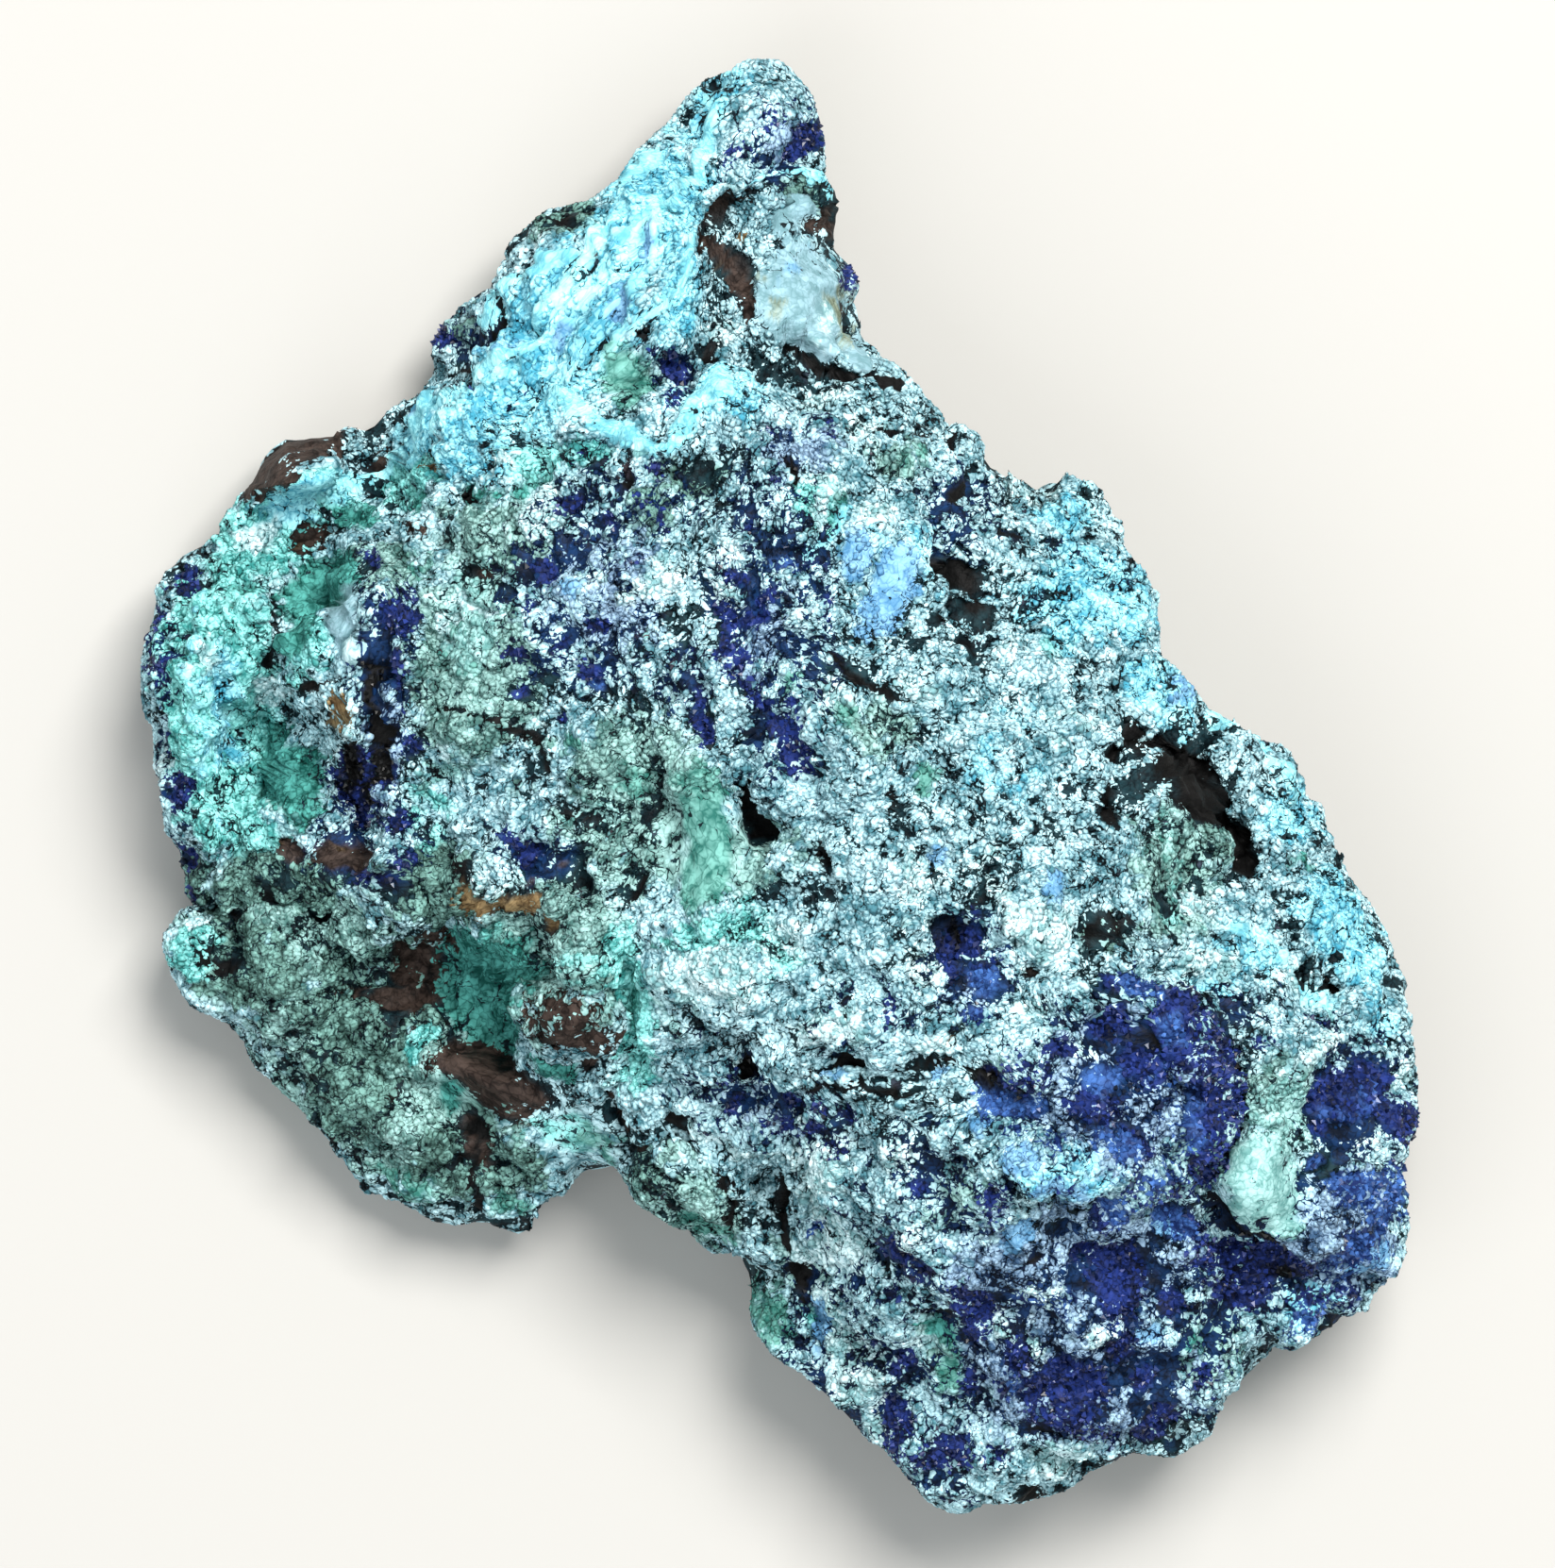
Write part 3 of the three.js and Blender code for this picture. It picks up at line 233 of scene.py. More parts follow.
# ---- Where each mineral lies, placed as ovals and strokes, in the rim's own frame ----
# An oval is x, y, half-length, half-width, turn in degrees, strength; a stroke is its line, its
# half-width and its strength. Strength 1 covers the place, less leaves it speckled.
AZURITE = [
    # peak
    (1.3, 42.8, 1.7, 1.3, 70, 1.3), (-2.7, 41.6, 1.2, 0.9, 20, 1.1), (-0.8, 43.8, 2.2, 1.3, 60, 0.6),
    (-4.4, 40.6, 1.6, 0.7, 30, 0.5), (4.8, 33.9, 1.5, 0.7, 85, 1.3), (-6.7, 27, 2.2, 1, 105, 1.2),
    (-6.3, 24.8, 1.2, 0.8, 60, 0.8), (-9, 28.4, 1.6, 0.9, 20, 0.6), (-19.6, 25.9, 1.4, 0.7, 20, 1),
    (-17.2, 25.9, 1.3, 0.5, 0, 0.7), (-22.2, 30.2, 0.9, 1.4, 0, 1.2), (-2.8, 27.4, 1.8, 1, 60, 0.5),
    (-12.8, 21.8, 1.2, 0.8, 30, 0.7), (-11.6, 22.6, 1, 0.5, 0, 0.6),
    # upper middle
    (-13.8, 18.3, 1.6, 1, 10, 1.1), (-11, 17.6, 1.3, 0.8, 110, 0.8), (-13, 16.4, 1.7, 0.7, 10, 0.5),
    (-8.2, 20.8, 0.9, 0.6, 0, 0.9), (-7.2, 17.2, 1.5, 0.5, 110, 0.8), (-9, 14.6, 1.2, 0.6, 100, 0.6),
    (-15, 14, 1.9, 0.8, -30, 0.8), (-16, 11.8, 1.3, 0.9, 90, 0.5), (-11.4, 10.8, 0.9, 0.7, 0, 1.3),
    (-12.4, 7.8, 1.3, 0.7, 110, 1.2), (-14.2, 9.8, 1.4, 0.7, 60, 0.6), (-17, 8.9, 1.3, 0.7, 0, 0.8),
    (-17.2, 6.2, 0.9, 0.6, 0, 0.8), (-14.6, 4.6, 0.9, 0.5, 90, 0.8), (-7.8, 11.4, 1.2, 0.6, 30, 0.4),
    (-5.6, 8.8, 1.8, 0.6, 0, 0.5), (-11.8, 13.4, 1, 0.5, 100, 0.5), (-15.2, 7.4, 0.8, 0.5, 0, 0.7),
    # middle
    (2.6, 22.2, 1.4, 0.7, 110, 0.8), (-1.2, 22.4, 1.4, 0.8, 80, 0.7), (0.4, 19.6, 1.6, 1, 0, 1.1),
    (-1.9, 16.7, 0.9, 0.7, 0, 0.8), (2.4, 15, 1.5, 0.7, 20, 0.6), (0.5, 14.4, 1.1, 0.6, 0, 0.8),
    (-2.7, 13.8, 1.3, 0.6, -20, 1.1), (-0.9, 12.6, 1.6, 0.6, 10, 0.9), (-2, 11.2, 1.6, 0.8, 30, 0.9),
    (-3, 8.6, 1.4, 1.2, 0, 1.2), (-1.3, 5.4, 2, 0.9, 125, 1.3), (1.3, 2.5, 2.3, 1.1, 105, 1.4),
    (-5.1, 3.6, 1.7, 0.8, 95, 1.2), (-5.3, 5.6, 0.9, 0.6, 90, 0.8), (1, 5, 1.2, 0.7, 80, 0.8),
    # left lobe
    (-26.7, 15, 1.5, 0.8, 100, 1.3), (-24.8, 11.3, 1.6, 1.4, 90, 1.5), (-24.9, 7.8, 2, 0.7, 90, 1.3),
    (-24.6, 5, 1.1, 0.6, 80, 1.1), (-23.8, 2.4, 1.5, 0.7, 70, 0.9), (-28.2, 1.4, 2.6, 1.3, 75, 1.2),
    (-27.8, -1.9, 1.9, 1, 0, 1.1), (-25, -2.2, 1.3, 0.9, 0, 1.3), (-27, -5.8, 2.2, 0.7, 0, 0.9),
    (-24.6, -4.8, 1, 0.5, 90, 0.8), (-39.6, 0, 2, 0.7, 95, 1), (-39.2, -4.6, 1.6, 0.7, 100, 1.1),
    (-40.6, 3.4, 1.4, 0.6, 90, 0.8), (-39, 14.6, 1.3, 0.6, 30, 0.7), (-40.8, 11, 2, 0.7, 90, 0.7),
    (-17, -3.6, 2.6, 0.9, -38, 0.9), (-38.8, -9.4, 0.9, 0.5, 30, 0.7), (-28, 8.6, 1.2, 0.6, 100, 0.7),
    # middle below
    (11.4, -11.2, 1.7, 0.9, 90, 1.4), (12.2, -9.9, 1.7, 0.7, 0, 1.1), (13.6, -11.9, 1.4, 1.2, 60, 1.1),
    (12.8, -14.4, 1.5, 0.9, 20, 0.9), (7.4, -14, 1.5, 0.8, 80, 1.3), (13, -8, 1.3, 0.5, 95, 0.7),
    (-4.6, -15.6, 1.8, 0.9, -20, 0.4), (-3.6, -18.6, 1, 0.8, 60, 0.8), (-6.3, -17.2, 1.2, 0.8, 0, 0.5),
    (0.9, -20.4, 1, 0.7, 0, 1.1), (3.2, -20.8, 1.1, 0.7, -40, 1.1), (-0.2, -22.3, 1.3, 1, 110, 1.3),
    (2.4, -22.3, 1.2, 0.7, 40, 1.1), (3.9, -23.5, 1, 0.7, 0, 1.2), (5, -21.4, 0.9, 0.6, 100, 1),
    (-3.2, -21.2, 0.9, 0.7, 0, 1), (2.7, -28.5, 1.2, 1, 0, 0.9), (9.4, -25.2, 0.9, 0.7, 0, 0.9),
    (7, -22.6, 1, 0.7, 0, 0.5), (-0.6, -19.2, 0.8, 0.6, 0, 0.7), (4.4, -26.6, 0.9, 0.6, 0, 0.6),
    (6.8, -29.6, 1, 0.6, 0, 0.6), (8.2, -32.6, 1.1, 0.8, 0, 0.7), (4.6, -33.6, 0.8, 0.6, 0, 0.7),
    # lower right lobe
    (21.6, -15, 2.2, 1.6, 100, 1), (24, -18.4, 3, 1.7, -20, 1), (22, -12.6, 1.6, 0.9, -20, 0.8),
    (23.4, -12.9, 1.9, 1, -20, 0.8), (18, -16.8, 2, 1.2, 0, 0.8), (15.2, -20.6, 2.6, 1.3, 0, 0.8),
    (20.6, -20.4, 2.6, 1.6, 0, 0.9), (22.2, -23, 3.2, 1.5, 10, 0.9), (24.2, -25.8, 4, 2.6, 0, 1.1),
    (22, -28, 2, 1.4, 0, 0.9), (26.4, -28.6, 2.4, 1.6, 0, 0.9), (22.6, -32.4, 3.2, 2.3, 100, 1.2),
    (20.4, -30.8, 1.6, 1.1, 0, 1), (30.6, -33, 3.4, 1.9, 0, 1.2), (33, -31.2, 2, 1, 0, 0.8),
    (27.6, -31, 2, 1.3, 0, 1.1), (13, -33.4, 3.8, 1.7, 95, 1.3), (14.4, -26.4, 2, 1.1, 110, 1.2),
    (10.2, -30.2, 1.3, 0.8, 0, 0.6), (18.6, -39, 3.8, 2.6, 10, 1.3), (16, -36.8, 1.6, 1.2, 90, 1.1),
    (20.6, -41.2, 2.8, 1.3, 0, 1), (25, -41.6, 2.4, 1.4, 20, 0.9), (22.4, -36.2, 2, 1.2, 90, 0.9),
    (26.4, -34.2, 1.6, 1, 0, 0.8), (8.6, -41.6, 2.2, 1.4, 120, 1.1), (11.8, -43.2, 2.4, 1.5, 0, 1.1),
    (8, -38, 1.6, 1, 0, 0.9), (12.6, -39.4, 1.5, 1.1, 90, 1), (14.8, -39, 1.4, 1, 0, 0.9),
    (15, -43, 1.5, 0.9, 0, 0.8), (12.4, -46, 1.8, 0.8, -20, 0.7), (27.8, -38.4, 1.8, 1, 20, 0.7),
    (24, -38.8, 1.6, 1, 0, 0.7), (6.4, -36.8, 1, 0.8, 0, 0.7), (37.6, -19.8, 3.6, 2.2, -10, 1.3),
    (40.6, -22, 2.2, 1.3, 95, 1.1), (36, -22, 1.4, 0.8, 30, 0.8), (34.8, -15.4, 2, 0.7, 10, 0.9),
    (31.6, -16.6, 1.8, 0.8, -10, 0.8), (39.8, -26.8, 3, 2.4, 80, 1.3), (37.2, -26.2, 1.8, 1.3, 0, 1.1),
    (37.6, -29.4, 2.4, 1.3, 20, 0.8), (36, -33.6, 2.8, 1.6, 25, 0.8), (35, -24.8, 1.4, 0.8, 45, 0.7),
    (18.4, -25, 1.2, 0.8, 60, 0.7), (33, -19.2, 1.2, 0.6, 30, 0.5), (15.4, -18, 3, 1.8, 0, 1),
    (27.4, -24.6, 1.6, 2.4, 0, 0.9), (9, -29.4, 1.6, 1.2, 0, 0.8), (-8.8, 18.6, 1.3, 0.8, 0, 0.7),
    (3.4, 12.2, 1.1, 0.7, 60, 0.6), (-38.6, -6.8, 1.4, 0.8, 90, 0.7), (9.6, -31, 1.4, 1, 0, 0.8),
    (8.4, -28.4, 0.9, 0.7, 0, 0.8), (-33.4, 0.2, 1, 0.6, 60, 0.6), (-27.8, 0.3, 3.2, 2.3, 80, 1.3),
    (-41, 8.4, 3.2, 0.8, 92, 0.9), (-39.4, 13.8, 2, 0.9, 60, 0.8),
]
AZURITE_LINES = [
    ([(25.8, -14.4), (28.2, -17.6), (28.8, -21), (28, -24.2)], 2.3, 1.4),
    ([(-4, 12), (-3, 9.4), (-2.6, 7.4), (-0.8, 4.6), (1.4, 1.8)], 0.7, 0.8),
    ([(28, -29.6), (31, -31.6), (34.6, -31.4)], 1.2, 1.1),
]
# Azurite painted as lit where its crystals lie open to the light: a brighter, milkier copy of its blue,
# painted light.
LIT_BLUE = [
    (39.8, -27, 3, 2.8, 0, 1), (37.2, -26.4, 2.2, 1.8, 0, 0.8), (37.8, -30.4, 3.2, 2.2, 30, 0.9),
    (35.2, -35.2, 3.2, 1.8, 25, 1.1), (23.4, -13, 2.2, 1.1, -20, 1.1), (25.6, -15.6, 1.6, 1, -40, 0.9),
    (15.2, -20.4, 3, 1.8, 0, 1.1), (16.8, -23, 2.6, 1.3, -10, 1), (21.4, -23, 2.4, 1.5, 0, 1),
    (20.8, -18.8, 1.9, 1.2, 0, 0.9), (22.6, -27.4, 2.4, 1.7, 0, 0.8), (25.9, -28.9, 1.8, 1.3, 0, 1),
    (26, -21, 5, 3.4, 90, 0.4), (13.8, -12.2, 1.4, 1.5, 0, 0.9), (13, -14.6, 1.6, 0.9, 0, 0.9),
    (37.6, -20.4, 3.2, 2.2, 0, 0.35), (0.6, 14.4, 2, 1.2, 0, 0.6), (2.7, -28.5, 1.3, 1, 0, 0.8),
    (17.6, -33.4, 2.8, 1.6, 0, 0.7), (15.6, -38.6, 1, 1.6, 0, 0.7), (-28, 10, 1.4, 3, 0, 0.4),
    (24, -25.4, 4, 2.8, 0, 0.5), (35, -24.8, 1.6, 0.9, 45, 0.6), (-13, 6.6, 1.8, 0.8, 0, 0.4),
]
# Deep blue-green druse inside the hollows.
TEAL = [
    (-32.4, 1, 4.4, 3, 100, 1.1), (-33.6, -0.8, 2, 1.3, 60, 0.5), (-30.2, 13.7, 3.4, 2.2, 35, 1.5),
    (-31.6, 10.2, 2.4, 1.5, 90, 1), (-28.6, 18.6, 2.8, 1.6, 0, 0.8), (-19.1, -12.4, 5, 5.2, 0, 2),
    (-18.2, -16.2, 3, 2.2, -10, 1.3), (-14.2, -18, 1.8, 1, -20, 0.9), (-8.9, -12.8, 3.4, 1.2, 80, 0.6),
    (-17, 19.4, 3, 1.5, 10, 0.5), (-23.6, 18.4, 2.4, 1.4, 0, 0.6), (-6.8, -9.6, 2.2, 1, 30, 0.5),
    (-22, -20.6, 1.2, 1.8, 0, 0.7), (4, 17.6, 1.4, 1, 60, 0.5), (-20, 19.2, 1.2, 0.9, 0, 1.1),
    (-35.4, 12.8, 1.6, 1.2, 0, 0.4), (34.4, -5.2, 1.8, 1.2, 0, 0.7), (10.4, -36, 1.6, 1.2, 0, 0.8),
    (27.6, -36.2, 2.2, 1.3, 0, 0.6), (20.4, 10.4, 1.8, 1, 0, 0.4), (17.4, 8.4, 1.6, 1.2, 0, 0.4),
]
# Smooth, waxy green malachite.
GREEN = [
    (-4.6, -3.6, 5.8, 1.9, 88, 1.2), (0.8, 6.9, 1.6, 1, 60, 0.6), (4.2, 5, 2, 1.4, -20, 0.4),
    (9.6, 0.6, 1.7, 1.2, 90, 0.7), (-10, 0.6, 2.2, 1.4, -30, 0.5), (-13, 3, 2.2, 1.6, 0, 0.4),
    (-5, 0.8, 1.6, 1.4, 0, 0.7), (11.4, -38.4, 1.6, 2.2, 0, 0.8), (-9.9, 26.8, 3.2, 2.1, -60, 1),
    (-20.6, 9, 4.4, 2.4, 90, 0.25), (25.4, -4, 4.6, 1.6, 100, 0.3), (-12, -22.8, 2.8, 1.6, -10, 0.6),
    (-0.6, -34.6, 4.4, 1.2, -55, 0.6), (-4.6, -28.6, 3, 1.2, -40, 0.6), (-24.6, -26.2, 3.4, 1.5, -20, 0.6),
    (-23.6, 14.4, 2.2, 1.5, 60, 0.6), (8.4, 21.2, 1.8, 1.2, 0, 0.4), (-18, -27.6, 2.4, 1.5, 0, 0.5),
]
# Bare matrix rock, dark brown.
BROWN = [
    (-33.6, 21.6, 4.6, 2.2, 32, 1.8), (-30.6, 23.2, 2.4, 1.4, 10, 1.5), (-31, 16.6, 1.6, 1.1, 45, 1.1),
    (-30, 6.9, 1.5, 1, 0, 0.9), (-23, 16.6, 1.6, 0.7, -35, 0.8), (-19.4, 14.2, 0.8, 0.7, 0, 0.6),
    (-32.2, -3.9, 1.4, 0.9, 0, 1.2), (-29.4, -4.4, 1.6, 0.9, 0, 0.8), (-18.8, -19.2, 4.8, 2.1, -24, 1.7),
    (-13.5, -15, 2.5, 1.1, -10, 1.3), (-12.2, -16.9, 1.5, 0.9, 80, 0.8), (2.7, 37.8, 1.6, 1.3, 60, 1.3),
    (-2.8, 38.4, 1.9, 0.7, 20, 1), (-2.5, 33, 1, 0.7, -20, 1), (-26.6, 22, 1.2, 0.6, 20, 0.8),
    (16.9, -12.2, 1.1, 0.9, 0, 1), (-9.6, 20.6, 1.4, 0.8, 70, 0.5), (-24.6, -12.4, 3.8, 1.7, 95, 0.75),
    (-26.6, -15, 2.2, 1.4, 0, 0.5), (-23, -9.6, 1.6, 0.8, 0, 0.7), (-23.8, -12.6, 4, 2.4, 80, 1.1),
    (-26.2, -14.4, 2.6, 1.6, 30, 0.8), (-20, -23.2, 2.8, 1.7, -60, 0.8), (-29, -13.8, 2.4, 1.8, 0, 0.5),
    (-27.4, -4.6, 2.6, 1.4, 0, 0.6),
]
BROWN_LINES = [
    ([(-5, 37.4), (-4, 35.8), (-3, 34.4), (-2.2, 32.8), (-2, 31.4)], 0.65, 1),
    ([(-10.6, -19.8), (-9.2, -22), (-8.4, -23.2)], 0.7, 1),
    ([(-14.8, -7.6), (-14.2, -10), (-14.1, -12.2)], 0.45, 0.9),
    ([(-23.4, -8.6), (-22, -9.4), (-21.6, -11)], 0.6, 0.8),
]
# Rust-yellow iron stain.
OCHRE = [
    (0.4, 31.3, 1, 0.6, 20, 0.3), (4.6, 31.6, 1.6, 0.7, 90, 0.3), (-3.4, 34.6, 1, 0.5, 100, 0.2),
    (-28.9, 4.9, 1.3, 0.9, 80, 1.6), (-22.8, 20.9, 1.5, 0.5, 0, 0.9), (-32.4, -3.5, 0.7, 0.4, 0, 0.6),
    (1.6, 33.8, 0.8, 0.5, 0, 0.3), (-2.4, 36.6, 0.9, 0.5, 0, 0.5), (10.8, -16.2, 0.9, 0.3, 0, 0.5),
    (-18.4, -6.5, 2.2, 0.8, -14, 1.3),
]
OCHRE_LINES = [
    ([(-20, -5.9), (-17.8, -6.5), (-15.6, -7.1)], 0.6, 1.2), ([(-15.2, -7.2), (-14.6, -9)], 0.3, 0.8),
]
# Open cavities, pits and creases, almost black: partly dark rock, partly painted shade where they are deep.
SHADE_AND_BLACK = [
    (25.6, 1.8, 4, 2.2, -38, 1.25), (28.2, -1, 3.4, 1.9, -50, 1.2), (30.2, -4.2, 2.4, 1.4, 100, 1.4),
    (26.6, -0.4, 2.8, 1.7, -60, 1), (22.1, 2.7, 1.9, 1.3, 50, 1.3), (21.4, -1.4, 1.9, 1.1, 110, 1.2),
    (36.8, -13.3, 1.9, 0.9, -15, 1.3), (11.8, 14.2, 1.7, 1, 0, 1.3), (10.8, 11.6, 1.2, 0.6, 60, 1),
    (12.6, 9.6, 1.5, 0.7, -20, 0.9), (12.8, 12, 1.6, 0.7, 0, 0.6), (0.3, 19.8, 1.1, 0.8, 0, 1),
    (-2.1, -17.9, 1, 0.7, 60, 1.3), (-20.2, 18.9, 0.9, 0.6, 0, 0.7), (24.2, -16.6, 2, 0.7, 0, 0.6),
    (16.6, -30.6, 1, 0.6, 20, 0.9), (-31, 6.8, 1.1, 0.6, 0, 0.8), (-40.9, -10.8, 0.7, 1.4, 0, 1),
    (-22.9, -12.8, 2, 0.5, 95, 0.8), (-22.2, -15.8, 1.2, 0.5, -50, 0.8), (-19.6, -22.6, 2.4, 1.3, 0, 0.8),
    (-12.3, -17.4, 1.2, 0.7, 0, 0.6), (-14.2, 36.9, 1.9, 0.9, 15, 0.5), (-17.2, 36.4, 1.4, 0.6, 40, 0.3),
    (-4.9, 35.6, 0.7, 0.5, 90, 1), (-28.2, 2.4, 1.9, 0.9, 80, 0.7), (-36.4, -11.6, 1.4, 0.8, 0, 0.8),
    (-9.6, 20, 1.3, 0.7, 60, 0.8), (17, -12.4, 1.6, 0.8, 0, 0.6), (11.6, -9.6, 1.5, 0.5, 0, 0.6),
    (-5, 20.8, 2.2, 1.2, 0, 0.35), (-4, 29.2, 1.4, 0.5, 70, 0.8), (-9.4, 29.6, 1.2, 0.5, 0, 0.6),
    (-13.8, 27.4, 1, 0.5, 60, 0.7), (20.8, -26.8, 1.6, 0.7, 0, 0.6), (33.6, -32, 1.6, 0.7, 0, 0.8),
    (12.4, 19.6, 1.6, 0.8, 40, 0.6), (15.4, 16.8, 1.2, 0.7, 0, 0.5), (2.6, -4.2, 1.5, 0.9, -30, 0.5),
    (7.4, -0.6, 1.4, 0.6, 90, 0.5), (17, -2.6, 1.4, 0.8, 0, 0.5), (21, -9.4, 2, 1.6, 60, 0.5),
    (4.6, -14.2, 1, 0.6, 60, 0.8), (17.6, -41.6, 1.8, 0.7, 0, 0.5), (16.4, -46, 1.8, 0.7, 20, 0.6),
    (-13.6, -1.6, 1.8, 0.6, -45, 0.5), (-8.4, -6, 0.7, 0.4, 60, 1), (-8.9, -6.8, 0.5, 0.4, 0, 0.9),
    (2.3, 46, 1.6, 0.5, 120, 1.1), (10.4, -34.4, 1.6, 1, 0, 0.6), (-33.6, -6.4, 1, 0.6, 0, 0.8),
    (-20.6, -4.8, 1.8, 0.7, -20, 0.7), (14.4, -18.8, 3, 1.3, -10, 1), (-21.2, -24.8, 1.8, 0.8, 40, 0.7),
    (-25.4, -20.6, 1.4, 0.8, 30, 0.6), (-17.6, -18.4, 2.2, 0.5, -20, 0.7), (-37.6, -11, 1.6, 0.7, -40, 0.7),
    (24.4, 2.4, 2.4, 1.4, 0, 0.9), (27.6, 1.6, 3, 1.4, -35, 0.75), (29.8, -1.2, 2, 1.3, -50, 0.7),
    (30.8, -4.4, 2.2, 1.1, 95, 1), (22.6, 3.4, 1.4, 1.1, 0, 1.1), (21, -1.4, 1.5, 0.9, 110, 1.2),
    (-28.2, 0.8, 2.4, 1.3, 75, 0.6),
]
# Dark lines along the clefts and under the ledges: painted shade.
SHADE_AND_BLACK_LINES = [
    ([(-2, 0.8), (-1.6, -1.2), (-0.9, -3)], 0.5, 1.3),
    ([(30, -17.4), (30.3, -20.4), (30, -23), (28.8, -24.8)], 0.5, 1.1),
    ([(28.8, -26.6), (29.4, -28.4), (31, -29.8), (33, -30.2)], 0.4, 1),
    ([(-33, 12.6), (-33.2, 10.2), (-33.8, 8.2)], 0.35, 0.7),
    ([(-38.2, -8), (-35.6, -8.4), (-32, -7.8), (-28.8, -8)], 0.45, 1),
    ([(-0.4, -26), (0.4, -29), (1.4, -31.6), (2, -34)], 0.4, 0.8),
    ([(-17.5, 32.6), (-19.2, 30.4), (-20.6, 28.4), (-22.4, 26.8), (-23.6, 25)], 0.35, 0.7),
    ([(0.2, 29.2), (1.6, 28.2), (3.4, 27), (5.6, 26.8), (7.8, 26)], 0.5, 1.1),
    ([(6.4, 23.2), (9.4, 23), (11.4, 22.6)], 0.35, 0.7),
    ([(-22, 5.4), (-19, 5.2), (-16, 3.2), (-14.6, 1)], 0.3, 0.7),
    ([(-27, 8.2), (-26.4, 5.6), (-26.6, 2.4), (-26.8, -0.6)], 0.55, 0.9),
    ([(-20, -23.6), (-20.2, -26), (-19.8, -28.4)], 0.4, 0.9),
    ([(3.8, 8.8), (6.2, 6.8), (8.6, 5.8)], 0.45, 0.7),
    ([(2, -17.7), (5, -17.1), (8, -17.6), (11, -17.4), (15, -18.2)], 0.4, 0.8),
    ([(2, -19.2), (6, -19), (9.6, -19.6)], 0.4, 0.7),
    ([(-7, -20.4), (-5.2, -23.4), (-2.6, -26.2)], 0.35, 0.6),
    ([(-3.6, -25.6), (-2.8, -27.6), (-3.2, -29.2)], 0.35, 0.6),
]
# Smooth sky-blue chrysocolla.
SKY = [
    (7.6, 13.4, 3, 2, 70, 1.3), (5.2, 14.8, 1.8, 1.3, 80, 0.9), (7, 11.2, 1.6, 0.9, 0, 0.7),
    (17.4, -6.9, 1.1, 0.8, -60, 1.2), (3.8, -18.2, 2, 0.5, 0, 0.7), (10.7, -18.3, 0.9, 0.8, 0, 1.2),
    (25.9, -29.4, 1.1, 0.9, 60, 0.9), (2.8, -35.6, 2.6, 0.8, 85, 1.3), (13.2, -21.6, 1.8, 0.8, -10, 0.5),
    (15.8, -28.6, 1.6, 1, 60, 0.9), (-14, 29.8, 2.6, 1.1, 50, 0.5), (-11, 32.6, 3.2, 1.2, 50, 0.4),
    (21, -18.3, 0.9, 0.6, 0, 1), (-8.6, 35.8, 2, 1, 50, 0.5), (-10, 31.6, 1.6, 1, 50, 0.7),
    (-18.6, 29.6, 2.6, 1.1, 45, 0.3), (-12.8, 13.2, 1.4, 1, 0, 0.6), (0.8, 34.6, 2, 1.6, 0, 0.3),
    (10.4, -4.6, 1.4, 0.9, 60, 0.6), (25.8, 5.8, 1.6, 1, -40, 0.7), (38.6, -30.8, 1.8, 1, 30, 0.9),
    (24.4, -35.6, 1.4, 1, 0, 0.7), (-23.4, 24, 1.6, 0.9, 50, 0.6), (18.6, -25.4, 2.2, 1.2, 0, 0.7),
    (16.4, -23.8, 1.6, 0.9, 0, 0.7),
]
# Smooth bare faces, pale grey-blue or grey-green.
FACET = [
    (1.8, 31.8, 5.4, 3.5, 116, 1.5), (4.9, 29, 2.4, 1.4, 110, 1), (-28.1, 10.8, 3.6, 1.5, 102, 1.5),
    (31.8, -26.4, 3.4, 2.5, 100, 1.6), (30.4, -24.6, 1.6, 1.2, 60, 1.3), (0.6, 37.6, 1.9, 1.2, 60, 0.9),
    (33.4, -21.8, 2.8, 1.6, 40, 0.5), (7.6, -37.6, 1.2, 1, 0, 0.3),
]
# Smooth crust of a pale mint green, on the knob and round it.
MINT = [
    (31.9, -26.4, 4.6, 3.4, 100, 1.3), (32.8, -21.2, 3.4, 2.4, 70, 0.8), (-5.4, -12.6, 3.4, 2.2, 60, 0.5),
    (34.6, -22.6, 2.4, 1.2, 40, 0.6), (25, -2.6, 2.6, 1.2, 100, 0.6), (-20, 11.6, 5.4, 3.2, 85, 0.8),
    (-22.4, 1, 2.4, 2, 0, 0.5), (-12, -2, 3, 2, -20, 0.5),
]
# Rust that has stained the pale crust yellow.
RUST_STAIN = [
    (0.2, 31.8, 1.3, 0.9, 80, 0.5), (4.2, 30.8, 2.6, 1.2, 115, 0.6), (4.4, 33, 1, 0.8, 0, 0.5),
    (-1, 33.4, 1, 0.6, 0, 0.4),
]
